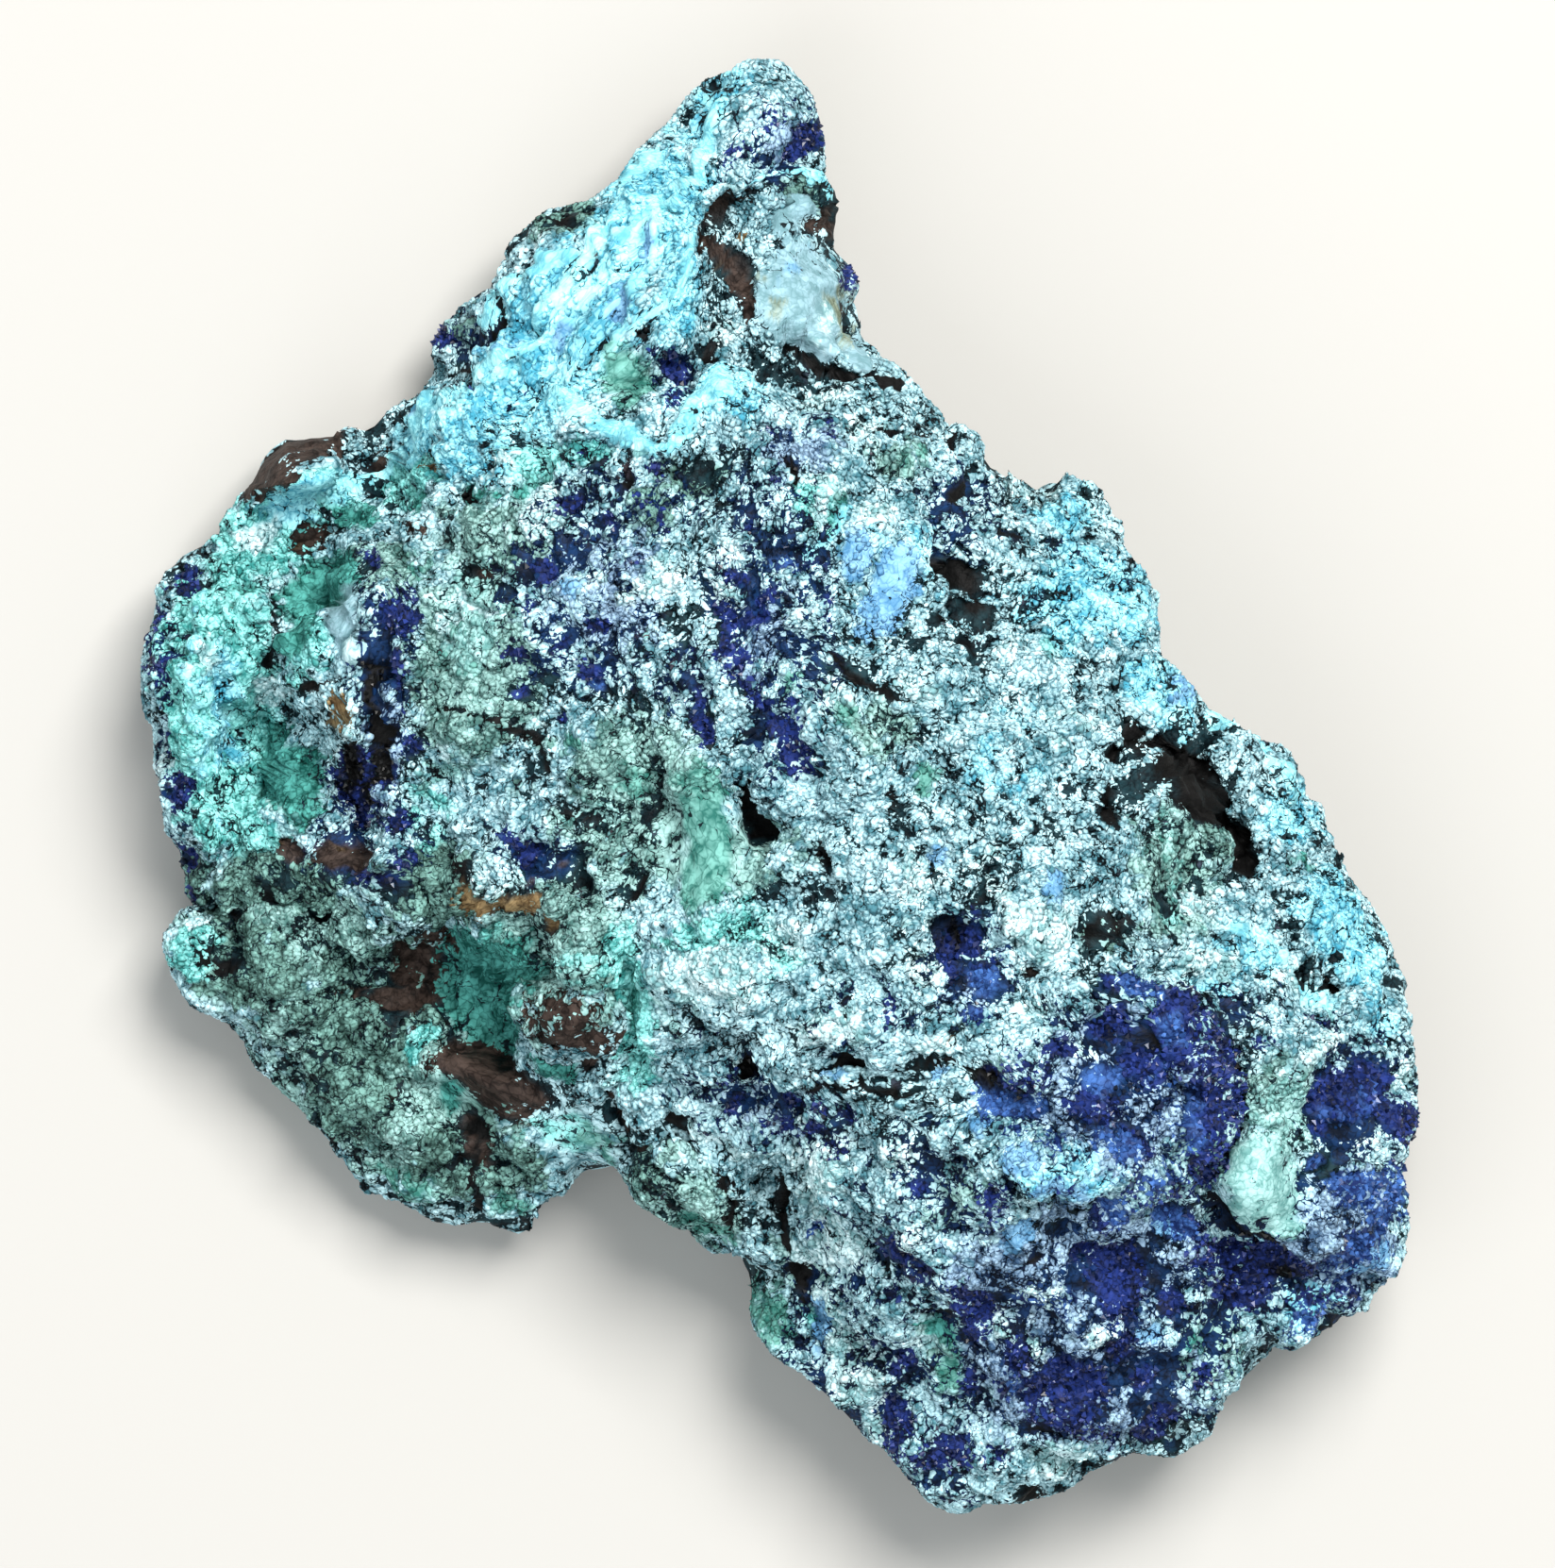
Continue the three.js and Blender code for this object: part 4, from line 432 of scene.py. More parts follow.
# Crusts that are almost white. The ovals near x 1.5 to 5, y -24 to -37 also lighten a slope that faces away
# from the key light, as painted light.
WHITE_AND_LIT = [
    (16.8, -9.2, 2.6, 1.5, -50, 1.3), (18.4, -8.6, 1.6, 1.2, 0, 0.9), (15.9, -11.6, 1.6, 0.6, 110, 0.9),
    (14.6, -6.6, 1.8, 0.7, 110, 0.9), (-3.4, -11.8, 4.6, 2.2, 15, 0.8), (0.8, -9.4, 3.2, 1.8, -20, 0.5),
    (3.6, -15.4, 3.6, 1.1, 10, 0.9), (10.2, -16.4, 2.6, 0.8, 0, 0.7), (2.4, 17, 2.2, 0.8, 40, 0.6),
    (-12.4, 13.4, 1.9, 1.1, 10, 0.8), (-7, 14, 2.2, 2, 40, 0.6), (-27.6, 9, 1.3, 0.6, 100, 1),
    (17.2, -33.2, 2.8, 1.5, 0, 0.9), (18.6, -43.6, 2.4, 1.5, 15, 1), (5.8, -38.4, 2.6, 1.6, -50, 1.1),
    (7.2, -41.4, 2, 1, -50, 0.8), (1, 11.4, 1.4, 0.5, 10, 0.6), (6.4, 17.6, 2.2, 1.4, 0, 0.7),
    (5.4, 23.6, 2.6, 1.2, -10, 0.9), (2.8, 25.6, 1.8, 0.9, 0, 0.8), (17.4, 20, 2.4, 1.6, 0, 0.5),
    (-1.8, -19.4, 1.3, 0.8, 0, 0.8), (1.8, -21.6, 1.6, 0.4, -20, 0.9), (35.2, -16.8, 2.4, 0.8, 30, 1),
    (33.4, -18.4, 1.6, 0.7, 30, 0.8), (41, -18.8, 1.2, 1.2, 0, 0.9), (37.4, -23, 2, 0.6, 30, 0.9),
    (16.4, -14.4, 1.4, 0.8, 0, 0.7), (27.4, -11.4, 2.4, 1.2, -30, 0.7), (26.8, -13, 1.6, 0.8, -30, 0.6),
    (-16.6, 4.2, 1, 0.6, -20, 0.7), (18.4, 3.8, 4, 3, 60, 0.3), (-37.8, 9, 3, 1.2, 90, 0.5),
    (-5.4, 44.4, 2, 1.4, 45, 0.5), (-38.4, -9.2, 1, 0.6, 20, 0.8), (-21.6, 2.6, 1.6, 0.9, 30, 0.7),
    (-3.2, 39.6, 2.6, 0.4, 15, 1), (2, 40.6, 1.6, 0.4, -30, 0.9), (9, -9, 1.8, 1.2, 0, 0.5),
    (15.4, 8.8, 2.4, 1.6, 0, 0.4), (-40.6, 1.6, 0.8, 1.4, 0, 0.8), (10.8, 3, 2, 1.4, 0, 0.3),
    (9.4, -27.8, 1.6, 1, 0, 0.5), (25.2, -18.2, 1.4, 0.4, -20, 0.7), (-34.6, 17, 3.4, 1.4, 35, 0.6),
    (9.6, -5.6, 3, 2.4, 40, 0.6), (9.4, -11.6, 1.6, 2, 0, 0.8), (13.6, -4.6, 1.8, 1.4, 40, 0.6),
    # From here on, the ovals near x 1.5 to 5, y -24 to -37 are partly painted light on a slope that faces
    # away from the key light.
    (28.6, -11.6, 3, 1.6, -20, 0.6), (34, -12, 2.4, 2, 0, 0.5), (3, -24.6, 3, 1.6, -20, 0.7),
    (8.4, -23.4, 2.4, 1.2, 0, 0.6), (4.6, -30, 2.4, 2.4, 0, 0.7), (3.4, -35, 1.6, 2.4, 0, 0.6),
    (9.4, -36.4, 1.8, 1.4, 0, 0.6), (3, 19, 2.4, 1.6, 0, 0.5), (3.4, 6.6, 2.2, 1.6, 40, 0.5),
    (9, 6.4, 2.4, 1.8, 0, 0.5), (-21, 12.4, 2.4, 2, 0, 0.35), (-15.4, 35.6, 2, 1, 45, 0.6),
    (3, 30.2, 1.4, 2.2, 0, 0.5), (-15.6, 19.4, 2, 1, 0, 0.5), (3.4, -27.4, 1.8, 2.4, 0, 0.7),
    (1.6, -30.6, 1.4, 2, 0, 0.7), (3, -33.6, 1.8, 1.6, 0, 0.7), (-15.6, 18.6, 2.2, 1.8, 0, 0.6),
    (14.8, -35.4, 1.4, 1.6, 0, 0.6), (-3, -12.4, 3, 1.6, 0, 0.7), (-2.6, -17.6, 2, 1, 0, 0.5),
    (-3.4, 30, 1.6, 1.2, 0, 0.5), (-8.6, 13, 2, 1.4, 0, 0.5), (-3, 15.6, 1.6, 1.2, 0, 0.5),
    (2.6, -25.6, 1.6, 2, 0, 0.8), (4.4, -36.4, 1.8, 2.2, 40, 0.9), (-14.6, 17.6, 2.4, 1.6, 0, 0.6),
    (-3.6, 12.6, 1.8, 2.4, 0, 0.6), (3.6, -24, 2.4, 2, 0, 0.7), (21, -31, 1.6, 1.2, 0, 0.5),
    (16.6, -36, 1.8, 1.4, 0, 0.6), (3.6, 6, 2.4, 1.6, 0, 0.5), (28, -7.4, 2, 1.6, 0, 0.6),
    (-15.6, 16.6, 2.4, 1.6, 0, 0.6), (-21.6, 10.6, 2.4, 2.4, 0, 0.4), (21.4, -35.4, 2.2, 1.8, 0, 0.6),
    (19.6, -16.8, 1.8, 1, 0, 0.5), (3.4, -29.4, 2, 2.4, 0, 0.6), (-33.4, 6.4, 2.4, 1.6, 0, 0.5),
]
WHITE_LINES = [
    ([(-27.9, 5), (-29, 3), (-30.5, 0.7), (-31.6, -0.8), (-33, -2.1)], 0.35, 1),
    ([(-17, 21.6), (-19.6, 20.6)], 0.4, 0.5), ([(-20, -4.8), (-18, -5.3), (-15.6, -6.6)], 0.22, 0.8),
    ([(-7.4, -19.6), (-5, -22.4), (-2.4, -24), (4, -24.6)], 0.45, 0.8),
    ([(-22.6, 12.4), (-20, 12), (-17.6, 11.6)], 0.3, 0.6),
]
# Bright blue-cyan crust, mostly on the slopes of the peak.
CYAN = [
    (-14, 30, 9, 5.8, 50, 1.1), (-8.4, 37.4, 7, 3.8, 55, 1.1), (-4, 44.8, 4.2, 2.4, 45, 1),
    (-17, 24.8, 6, 3, 20, 1), (-4, 25.2, 4, 1.6, 10, 0.7), (20, 12, 6.4, 5.6, 0, 0.7),
    (19.6, -24.4, 3, 2.2, 30, 1.2), (17.4, -25, 2.2, 1.4, -20, 0.7), (37.4, -9.4, 6.4, 3.4, 130, 1),
    (-23.4, 23.6, 3.6, 2, 40, 0.8), (24.4, 5.6, 3.8, 2, -30, 1), (-6.6, 31.6, 4, 2.4, 80, 0.8),
    (19, 18.4, 3.4, 2.4, 0, 0.8), (33.6, -2, 3.4, 3, 120, 0.8), (39.6, -15, 2, 2.6, 0, 0.8),
    (14.6, 2, 5, 6, 0, 0.3), (-37, 5, 7, 2, 92, 0.6), (28.6, -12, 3.6, 2.4, -20, 0.7),
    (-12, 12.6, 4, 2.4, 30, 0.5), (8, 15, 5, 4, 0, 0.4), (-20, 21.2, 4, 2, 0, 0.6),
    (-31.6, 19, 5, 2, 20, 0.8), (31, -11, 4, 2.4, -20, 0.6), (35.4, -33.4, 3, 1.6, 30, 0.8),
    (31.6, -30.6, 2, 1.4, 0, 0.6), (34.6, -28, 2, 2.6, 0, 0.5),
]
# Long smooth ridges of the crust, which run along the slopes like poured layers.
FLOW_LINES = [
    ([(-24.8, 21.2), (-23.3, 23.6), (-20.6, 26.6), (-17.4, 29.4), (-14.4, 32.8), (-11, 37)], 0.5, 1),
    ([(-15.2, 25.3), (-13.2, 24.4), (-11, 23.1), (-7.6, 21.9), (-5.6, 23.8), (-4, 25.4)], 0.55, 1.2),
    ([(-21.6, 23.4), (-18.4, 26.4), (-14.6, 29.4), (-12.6, 31.4), (-11.4, 34.4)], 0.42, 0.9),
    ([(-19.6, 30.6), (-17, 33), (-14, 34.8), (-10, 36), (-7.4, 38.4)], 0.42, 0.9),
    ([(-9.6, 31.4), (-8.6, 34.2), (-7.6, 37.4), (-5.6, 40.6), (-3, 44.6)], 0.42, 0.9),
    ([(-9.4, 39), (-7, 42), (-4.4, 45.6)], 0.4, 0.9),
    ([(-12.2, 28.2), (-9, 30.2), (-6.6, 32.8), (-5.4, 36.2)], 0.38, 0.8),
    ([(-4.2, 39.5), (-1.6, 39.9), (0.6, 40.4), (3, 39.2)], 0.4, 0.9),
    ([(-30.4, 20.2), (-27.4, 21), (-24.6, 22)], 0.6, 0.8),
    ([(-38.4, 12.6), (-39, 8), (-38.4, 3), (-37.4, -2)], 0.5, 0.4),
    ([(2, 15.4), (3.4, 16), (4.4, 17.4)], 0.45, 1), ([(30, -9), (33.6, -11.4), (36.4, -14.6)], 0.6, 0.6),
    ([(28.6, 4.4), (31.6, 2.6), (34.4, -1)], 0.6, 0.7),
]
# Crust stained blue by the azurite round it.
STEEL = [
    (22, -19.4, 8, 6.4, 20, 1), (20, -31, 12, 6, 0, 0.9), (19, -38, 12, 6, 0, 0.8), (36, -29, 6, 6, 0, 0.9),
    (38, -20, 3, 4, 0, 0.6), (0, -21, 6, 3, -20, 0.5), (-11, 13, 6, 6, 0, 0.6), (-1, 10, 4, 6, 0, 0.5),
    (1, 21, 4, 2.4, 0, 0.5), (12.6, -12.4, 3, 3, 0, 0.7), (-26, 4, 2.4, 8, 0, 0.6),
    (0, 42.4, 2.6, 2.6, 0, 0.5),
]
# Turquoise crust, greener: the rim and bowl of the left lobe, the crest and the middle.
TURQUOISE = [
    (-37, 6, 12, 5, 92, 1.3), (-34, 16.8, 5.6, 3.6, 35, 1.1), (-34.6, -0.6, 5, 3.4, 60, 1.2),
    (-30.4, 19.4, 4, 2.2, 0, 1), (-24.4, 20.6, 4, 2.2, 20, 0.9), (-15, 21.6, 6, 1.8, 0, 0.8),
    (-30.8, 9.4, 2.4, 4, 0, 0.7), (2.2, 17.8, 2.4, 2.4, 0, 0.8), (-9.4, -14, 7, 3.2, 95, 1.2),
    (-2, -10, 6.4, 3.6, -10, 0.6), (-12.4, -10.6, 3, 3, 0, 0.3), (-19, -8.4, 2.6, 0.9, 0, 0.8),
    (-23, -2, 2.4, 3.6, 0, 0.5), (2.6, -34.6, 2.4, 1.6, 100, 0.6), (-38.6, -10.8, 2.2, 1.8, 0, 1),
    (-13.4, -22.6, 4, 2, -10, 0.6), (-23.6, -17.2, 1.4, 1.2, 0, 1), (17.6, 9, 2.4, 2, 0, 0.5),
    (26.4, -7, 2, 5, 10, 0.3),
]
# Grey-green crust of the lower left lobe and of the left flank: a duller green, darkened further as painted
# shade.
DULL_AND_SHADED = [
    (-26.6, -13.8, 7, 6, 0, 1.3), (-19.6, -22, 4, 2.4, 0, 0.7), (-16, 1.6, 5, 4, 0, 0.3),
    (-32.6, -6.2, 5.6, 2.4, 0, 1.1), (-14, 37, 3.6, 1.6, 10, 0.9), (-20.8, 30.6, 3.4, 1.4, 50, 0.4),
    (-7.6, -24.4, 3.4, 1.8, -50, 0.5), (-5.6, 20.4, 3.4, 2, 0, 0.7), (21.4, -9.4, 3, 3, 0, 0.5),
    (27.4, -5.4, 2.4, 4, 10, 0.4), (7.4, -19.4, 4, 1.4, 0, 0.2), (1.6, 39.2, 2, 1.4, 0, 0.7),
    (-22, -6, 4.4, 2.8, 0, 1.3), (-36, -11, 5.4, 3.6, -30, 1.3), (-20, -24.6, 6, 3.6, 0, 1.2),
    (-28, -20, 5, 4, -40, 0.9), (14.6, -18.4, 2.6, 2, 0, 0.8), (27.4, -24, 2, 3, 0, 0.6),
    (-8.6, 18, 3, 2.4, 0, 0.7), (-39, -6, 2.4, 3, 0, 0.8), (-34, -4.4, 3.4, 2.2, 0, 1),
    (-32.8, 0.4, 3, 3, 0, 0.5), (27, -22.6, 2.4, 2.4, 0, 0.7),
]
# Where the rock under the crust is azurite, so that every gap in it shows blue.
BLUE_GROUND = [
    (0, 42.6, 5, 3.6, 60, 1), (-7, 27, 4, 3, 60, 0.7), (-19, 26, 4.4, 2.4, 20, 0.8), (-13, 12.6, 9, 7, 90, 1),
    (-10, 18.6, 7, 4, 0, 0.9), (0, 12, 12, 6, 95, 1), (0, 3, 6, 5, 100, 0.8), (-26, 8, 10, 3, 92, 1),
    (-27, -3, 6, 4.4, 0, 0.9), (-40, 4, 14, 2.6, 92, 0.7), (12.6, -11.6, 5.6, 4, 90, 1),
    (6, -15, 5, 3.4, 0, 0.8), (-1, -20.6, 8, 4.6, -20, 1), (10, -27, 9, 7, 0, 0.9), (22, -19, 11, 8, 20, 1.1),
    (18, -36, 18, 10, 0, 1.1), (33, -31, 10, 8, 0, 1), (38, -20, 5, 7, 0, 1), (4, -35, 6, 9, 20, 0.8),
    (0, 22.6, 4, 3, 0, 0.8), (10, -42, 8, 5, 0, 1), (-16, -4, 4, 2.6, -30, 0.8), (30, -14, 5, 3, -20, 0.6),
    (-6, 7, 3.6, 4, 0, 0.7), (12, 18, 6, 4.6, 0, 0.8), (20, 14, 6, 5, 0, 0.4), (-20, 31, 5, 2, 50, 0.7),
]
# Pale sage-green crust of the left half.
SAGE = [
    (-20, 8, 9, 5.6, 90, 1.1), (-9, -1, 8, 7, 90, 1), (-26, -19, 14, 8, -40, 1.1), (-32, -9, 9, 5, 0, 1),
    (-18, 16, 6, 3.6, 0, 0.8), (-6, -26.6, 6, 3.4, -45, 0.8), (1.6, -32, 2.6, 6, 30, 0.5),
    (26, -5, 4.6, 7, 10, 0.8), (33, -20.6, 4, 3.6, 0, 0.8), (-14, -10, 7, 7, 0, 1), (8, 21, 3, 2, 0, 0.5),
    (7, 4, 3.6, 3, 0, 0.6), (-2, -4, 6, 4, 0, 0.6), (11, -37, 3, 3, 0, 0.6), (-10, 27, 3, 2.4, 0, 0.8),
    (28, -37, 4.6, 3, 30, 0.6), (0, 7, 2.4, 2, 0, 0.5), (12, -26, 4, 3, 0, 0.4),
    (-25.6, 14.6, 3.6, 2.6, 0, 0.9), (-22, 10, 3, 5, 0, 0.7),
]
MINERALS = {
    "azurite": (AZURITE, AZURITE_LINES), "lit": (LIT_BLUE, []), "teal": (TEAL, []), "green": (GREEN, []),
    "brown": (BROWN, BROWN_LINES), "ochre": (OCHRE, OCHRE_LINES), "shade_and_black": (SHADE_AND_BLACK, SHADE_AND_BLACK_LINES),
    "sky": (SKY, []), "white_and_lit": (WHITE_AND_LIT, WHITE_LINES), "steel": (STEEL, []), "cyan": (CYAN, []),
    "flow": ([], FLOW_LINES), "dull_and_shaded": (DULL_AND_SHADED, []), "blue_ground": (BLUE_GROUND, []), "sage": (SAGE, []),
    "turquoise": (TURQUOISE, []), "facet": (FACET, []), "mint": (MINT, []), "rust": (RUST_STAIN, []),
}
EDGE_DRIFT = [(0.3, 3.1), (0.4, 1.2)]   # heights and sizes of the waves that draw out the patches' edges
BROAD_STAIN = [(1, 9), (0.6, 4)]        # the same for the stains of the underside
STREAKY_STAIN = [(1, 6), (0.6, 2.5)]
BASE_STAINS = {                         # which of the two, how strong its waves are and what is added
    "brown": ("broad", 0.9, 0.5), "green": ("streaky", 0.9, -0.1), "azurite": ("streaky", -1.2, -0.6),
}
BROWN_START, BROWN_BAND, BROWN_FRAY = 1.5, 3, 2.2   # where the underside's brown begins, from the rim


def smooth(v):
    """Rises from 0 at v = 0 to 1 at v = 1, level at both ends."""
    v = np.clip(v, 0, 1)
    return v * v * (3 - 2 * v)


def scatter(i, j, k, seed):
    """A number from 0 to 1 for each whole-numbered place, by mixing the bits of its three numbers."""
    i, j, k = (np.asarray(c).astype(np.int64).astype(np.uint32) for c in (i, j, k))
    h = i * np.uint32(374761393) + j * np.uint32(668265263) + k * np.uint32(1440662683)
    h = h + np.uint32(seed * 974711)
    h = (h ^ (h >> np.uint32(13))) * np.uint32(1274126177)
    h = (h ^ (h >> np.uint32(15))) * np.uint32(2246822519)
    return (h ^ (h >> np.uint32(16))).astype(np.float64) / 4294967296


def waves(size, seed, x, y, z):
    """Smooth waves from -1 to 1: the scattered numbers at the 8 corners of each cube, blended."""
    cells = [np.floor(c / size) for c in (x, y, z)]
    parts = [smooth(c / size - f) for c, f in zip((x, y, z), cells)]
    total = 0
    for corner in range(8):
        step = (corner & 1, corner >> 1 & 1, corner >> 2)
        weight = math.prod(p if s else 1 - p for s, p in zip(step, parts))
        total = total + weight * scatter(*(f + s for f, s in zip(cells, step)), seed)
    return 2 * total - 1


def knobs(size, seed, x, y, z):
    """Rounded knobs packed side by side: 1 - 3 r^2, r to the nearest scattered point, in sizes."""
    u, v, w = x / size, y / size, z / size
    nearest = np.full(np.shape(x), 9.0)
    for n in range(27):
        i = np.floor(u) + n % 3 - 1
        j = np.floor(v) + n // 3 % 3 - 1
        k = np.floor(w) + n // 9 - 1
        away = [c + scatter(i, j, k, seed + s) - p for s, (c, p) in enumerate(((i, u), (j, v), (k, w)))]
        nearest = np.minimum(nearest, sum(d * d for d in away))
    return np.maximum(-1, 1 - 3 * nearest)


def bumps(spec, x, y, z):
    """One layer of roughness, in millimetres: its height times its waves or knobs."""
    kind, size, height, seed = spec
    return height * (waves if kind == "waves" else knobs)(size, seed, x, y, z)


def layered(layers, seed, x, y, z):
    """Layers of waves added up: height times waves of that size, each layer with the next seed."""
    return sum(height * waves(size, seed + n, x, y, z) for n, (height, size) in enumerate(layers))


def turned(x, y, middle_x, middle_y, turn):
    """How far each place lies from a middle, along and across a direction that is turn degrees from x."""
    c, s = math.cos(math.radians(turn)), math.sin(math.radians(turn))
    dx, dy = x - middle_x, y - middle_y
    return dx * c + dy * s, dy * c - dx * s


def near_line(points, x, y):
    """Distance from each (x, y) to a line of points, and whether the place lies on its left."""
    best, left = np.full(np.shape(x), np.inf), np.zeros(np.shape(x), bool)
    for (ax, ay), (bx, by) in zip(points, points[1:]):
        dx, dy = bx - ax, by - ay
        along = np.clip(((x - ax) * dx + (y - ay) * dy) / (dx * dx + dy * dy), 0, 1)
        d = np.hypot(x - ax - along * dx, y - ay - along * dy)
        left = np.where(d < best, dx * (y - ay) - dy * (x - ax) > 0, left)
        best = np.minimum(best, d)
    return best, left


def height_from(marks, reach, x, y):
    """Mean of the marks' heights, each weighted by a bell curve of its distance."""
    total, weights = 0, 1e-9
    for mx, my, height in marks:
        w = np.exp(-((x - mx) ** 2 + (y - my) ** 2) / (2 * reach * reach)) + 1e-7
        total, weights = total + w * height, weights + w
    return total / weights


def relief(x, y):
    """All that stands up from or is sunk into the upper sheet, as sums of three kinds of form.

    Mounds and seams are height x (1 - r^2)^1.5, r being the distance in half-widths. A ledge drops
    on the left of its line within its width, then fades out over its reach.
    """
    z = np.zeros(np.shape(x))
    for mx, my, long, wide, turn, height in MOUNDS:
        along, across = turned(x, y, mx, my, turn)
        z += height * np.maximum(0, 1 - (along / long) ** 2 - (across / wide) ** 2) ** 1.5
    for half_width, height, line in SEAMS:
        d, _ = near_line(line, x, y)
        z += height * np.maximum(0, 1 - (d / half_width) ** 2) ** 1.5
    for drop, width, reach, line in LEDGES:
        d, lower = near_line(line, x, y)
        z -= lower * drop * smooth(d / width) * (1 - smooth((d - width) / reach))
    return z


CLOSED_RIM = RIM + RIM[:1]
RIM_X, RIM_Y = np.array(CLOSED_RIM).T
RIM_STEPS = np.concatenate([[0], np.cumsum(np.hypot(np.diff(RIM_X), np.diff(RIM_Y)))])


def plan(cells):
    """x and y of the corners of a square grid whose squares become rings inside the rim.

    A ring's share s of the way out is evenly spaced up to FLAT_SHARE, then spaced as a cosine,
    and each place on a ring looks out at the same share of the rim's length.
    """
    half = cells / 2
    a, b = np.meshgrid(np.arange(cells + 1) - half, np.arange(cells + 1) - half, indexing="ij")
    ring = np.maximum(abs(a), abs(b))
    r = np.maximum(ring, 1)
    share = np.select(
        [(a == ring) & (b < ring), (b == ring) & (a > -ring), (a == -ring) & (b > -ring)],
        [(b / r + 1) / 8, 0.25 + (1 - a / r) / 8, 0.5 + (1 - b / r) / 8],
        0.75 + (a / r + 1) / 8,
    ) % 1
    s = ring / half
    roll = np.pi / 2 * (1 - s) / (1 - FLAT_SHARE)
    out = np.where(s <= FLAT_SHARE, s / FLAT_SHARE * FLAT_REACH, 1 - (1 - FLAT_REACH) * (1 - np.cos(roll)))
    x = np.interp(share * RIM_STEPS[-1], RIM_STEPS, RIM_X)
    y = np.interp(share * RIM_STEPS[-1], RIM_STEPS, RIM_Y)
    return RING_CENTRE[0] + out * (x - RING_CENTRE[0]), RING_CENTRE[1] + out * (y - RING_CENTRE[1])


def roll_over(d, width):
    """Rises from 0 at the rim to 1 where the rounded edge ends, as a quarter of an ellipse."""
    return np.sqrt(np.maximum(0, 1 - (1 - np.minimum(d / width, 1)) ** 2))


def top_height(x, y):
    """Rim height, plus the hill and its relief above the rim times the rolled edge."""
    d, _ = near_line(CLOSED_RIM, x, y)
    rim = height_from(RIM_HEIGHTS, RIM_REACH, x, y)
    hill = height_from(HEIGHTS, HEIGHT_REACH, x, y) + relief(x, y)
    return rim + (hill - rim) * roll_over(d, height_from(TOP_ROLLS, RIM_REACH, x, y))


def base_height(x, y):
    """Rim height, minus the rolled edge down to a wavy floor that the pads cut through."""
    d, _ = near_line(CLOSED_RIM, x, y)
    rim = height_from(RIM_HEIGHTS, RIM_REACH, x, y)
    floor = BASE_HOLLOW + bumps(BASE_WAVE, x, y, 0 * x)
    for px, py, r in PADS:
        floor = floor - PAD_DEPTH * np.maximum(0, 1 - np.hypot(x - px, y - py) / r)
    return rim + (floor - rim) * roll_over(d, BASE_ROLL)


def skin_faces():
    """Triangles of both sheets as rows of three point numbers, and which base points are new.

    A cell is split along the diagonal that points away from the middle. The base's outer cells
    are fans from their inner corner, which take in the rim's in-between points of the upper sheet.
    """
    top = np.arange((TOP_CELLS + 1) ** 2).reshape(TOP_CELLS + 1, -1)
    inside = np.zeros((BASE_CELLS + 1, BASE_CELLS + 1), bool)
    inside[1:-1, 1:-1] = True
    base = top[::2, ::2].copy()
    base[inside] = top.size + np.arange(inside.sum())

    def split(grid):
        a, b, c, d = grid[:-1, :-1], grid[1:, :-1], grid[1:, 1:], grid[:-1, 1:]
        side = np.arange(len(grid) - 1) + 0.5 - (len(grid) - 1) / 2
        away = side[:, None] * side[None, :] > 0
        first = np.where(away[..., None], np.stack([a, b, c], -1), np.stack([b, c, d], -1))
        second = np.where(away[..., None], np.stack([a, c, d], -1), np.stack([b, d, a], -1))
        return np.concatenate([first.reshape(-1, 3), second.reshape(-1, 3)])

    faces = [split(top), split(base[1:-1, 1:-1])[:, ::-1]]
    for turn in range(4):
        coarse, fine = np.rot90(base, turn), np.rot90(top, turn)
        k = np.arange(BASE_CELLS)
        apex = coarse[1, np.clip(k, 1, BASE_CELLS - 1)]
        between = fine[0, 1::2]
        faces.append(np.stack([apex, coarse[0, :-1], between], -1))
        faces.append(np.stack([apex, between, coarse[0, 1:]], -1))
        faces.append(np.stack([coarse[1, 1:-2], coarse[0, 2:-1], coarse[1, 2:-1]], -1))
    return np.concatenate(faces), inside


def point_normals(points, faces):
    """Direction of the skin at each point: the sum of its triangles' cross products."""
    a, b, c = (points[faces[:, n]] for n in range(3))
    cross = np.cross(b - a, c - a)
    total = np.stack([
        sum(np.bincount(faces[:, n], cross[:, axis], len(points)) for n in range(3)) for axis in range(3)
    ], -1)
    return total / np.maximum(np.linalg.norm(total, axis=1, keepdims=True), 1e-12)


def calmness(x, y):
    """1 in the middle of the smooth faces, 0 away from them."""
    rough = 1
    for fx, fy, r in SMOOTH_FACES:
        rough = rough * smooth(np.hypot(x - fx, y - fy) / r - 0.4)
    return 1 - rough


def oval_cover(ovals, strokes, x, y):
    """How strongly a mineral covers each place, 0 to about 1.

    An oval gives strength x 1.5 x (1 - r), r being the distance in its own half-lengths, at most
    its strength; a stroke gives the same with r in its half-widths; the strongest one counts.
    """
    cover = np.zeros(np.shape(x))
    for px, py, long, wide, turn, strength in ovals:
        near = np.hypot(x - px, y - py) < max(long, wide)
        along, across = turned(x[near], y[near], px, py, turn)
        r = np.hypot(along / long, across / wide)
        cover[near] = np.maximum(cover[near], strength * np.clip(1.5 * (1 - r), 0, 1))
    for line, half_width, strength in strokes:
        d, _ = near_line(line, x, y)
        cover = np.maximum(cover, strength * np.clip(1.5 * (1 - d / half_width), 0, 1))
    return cover


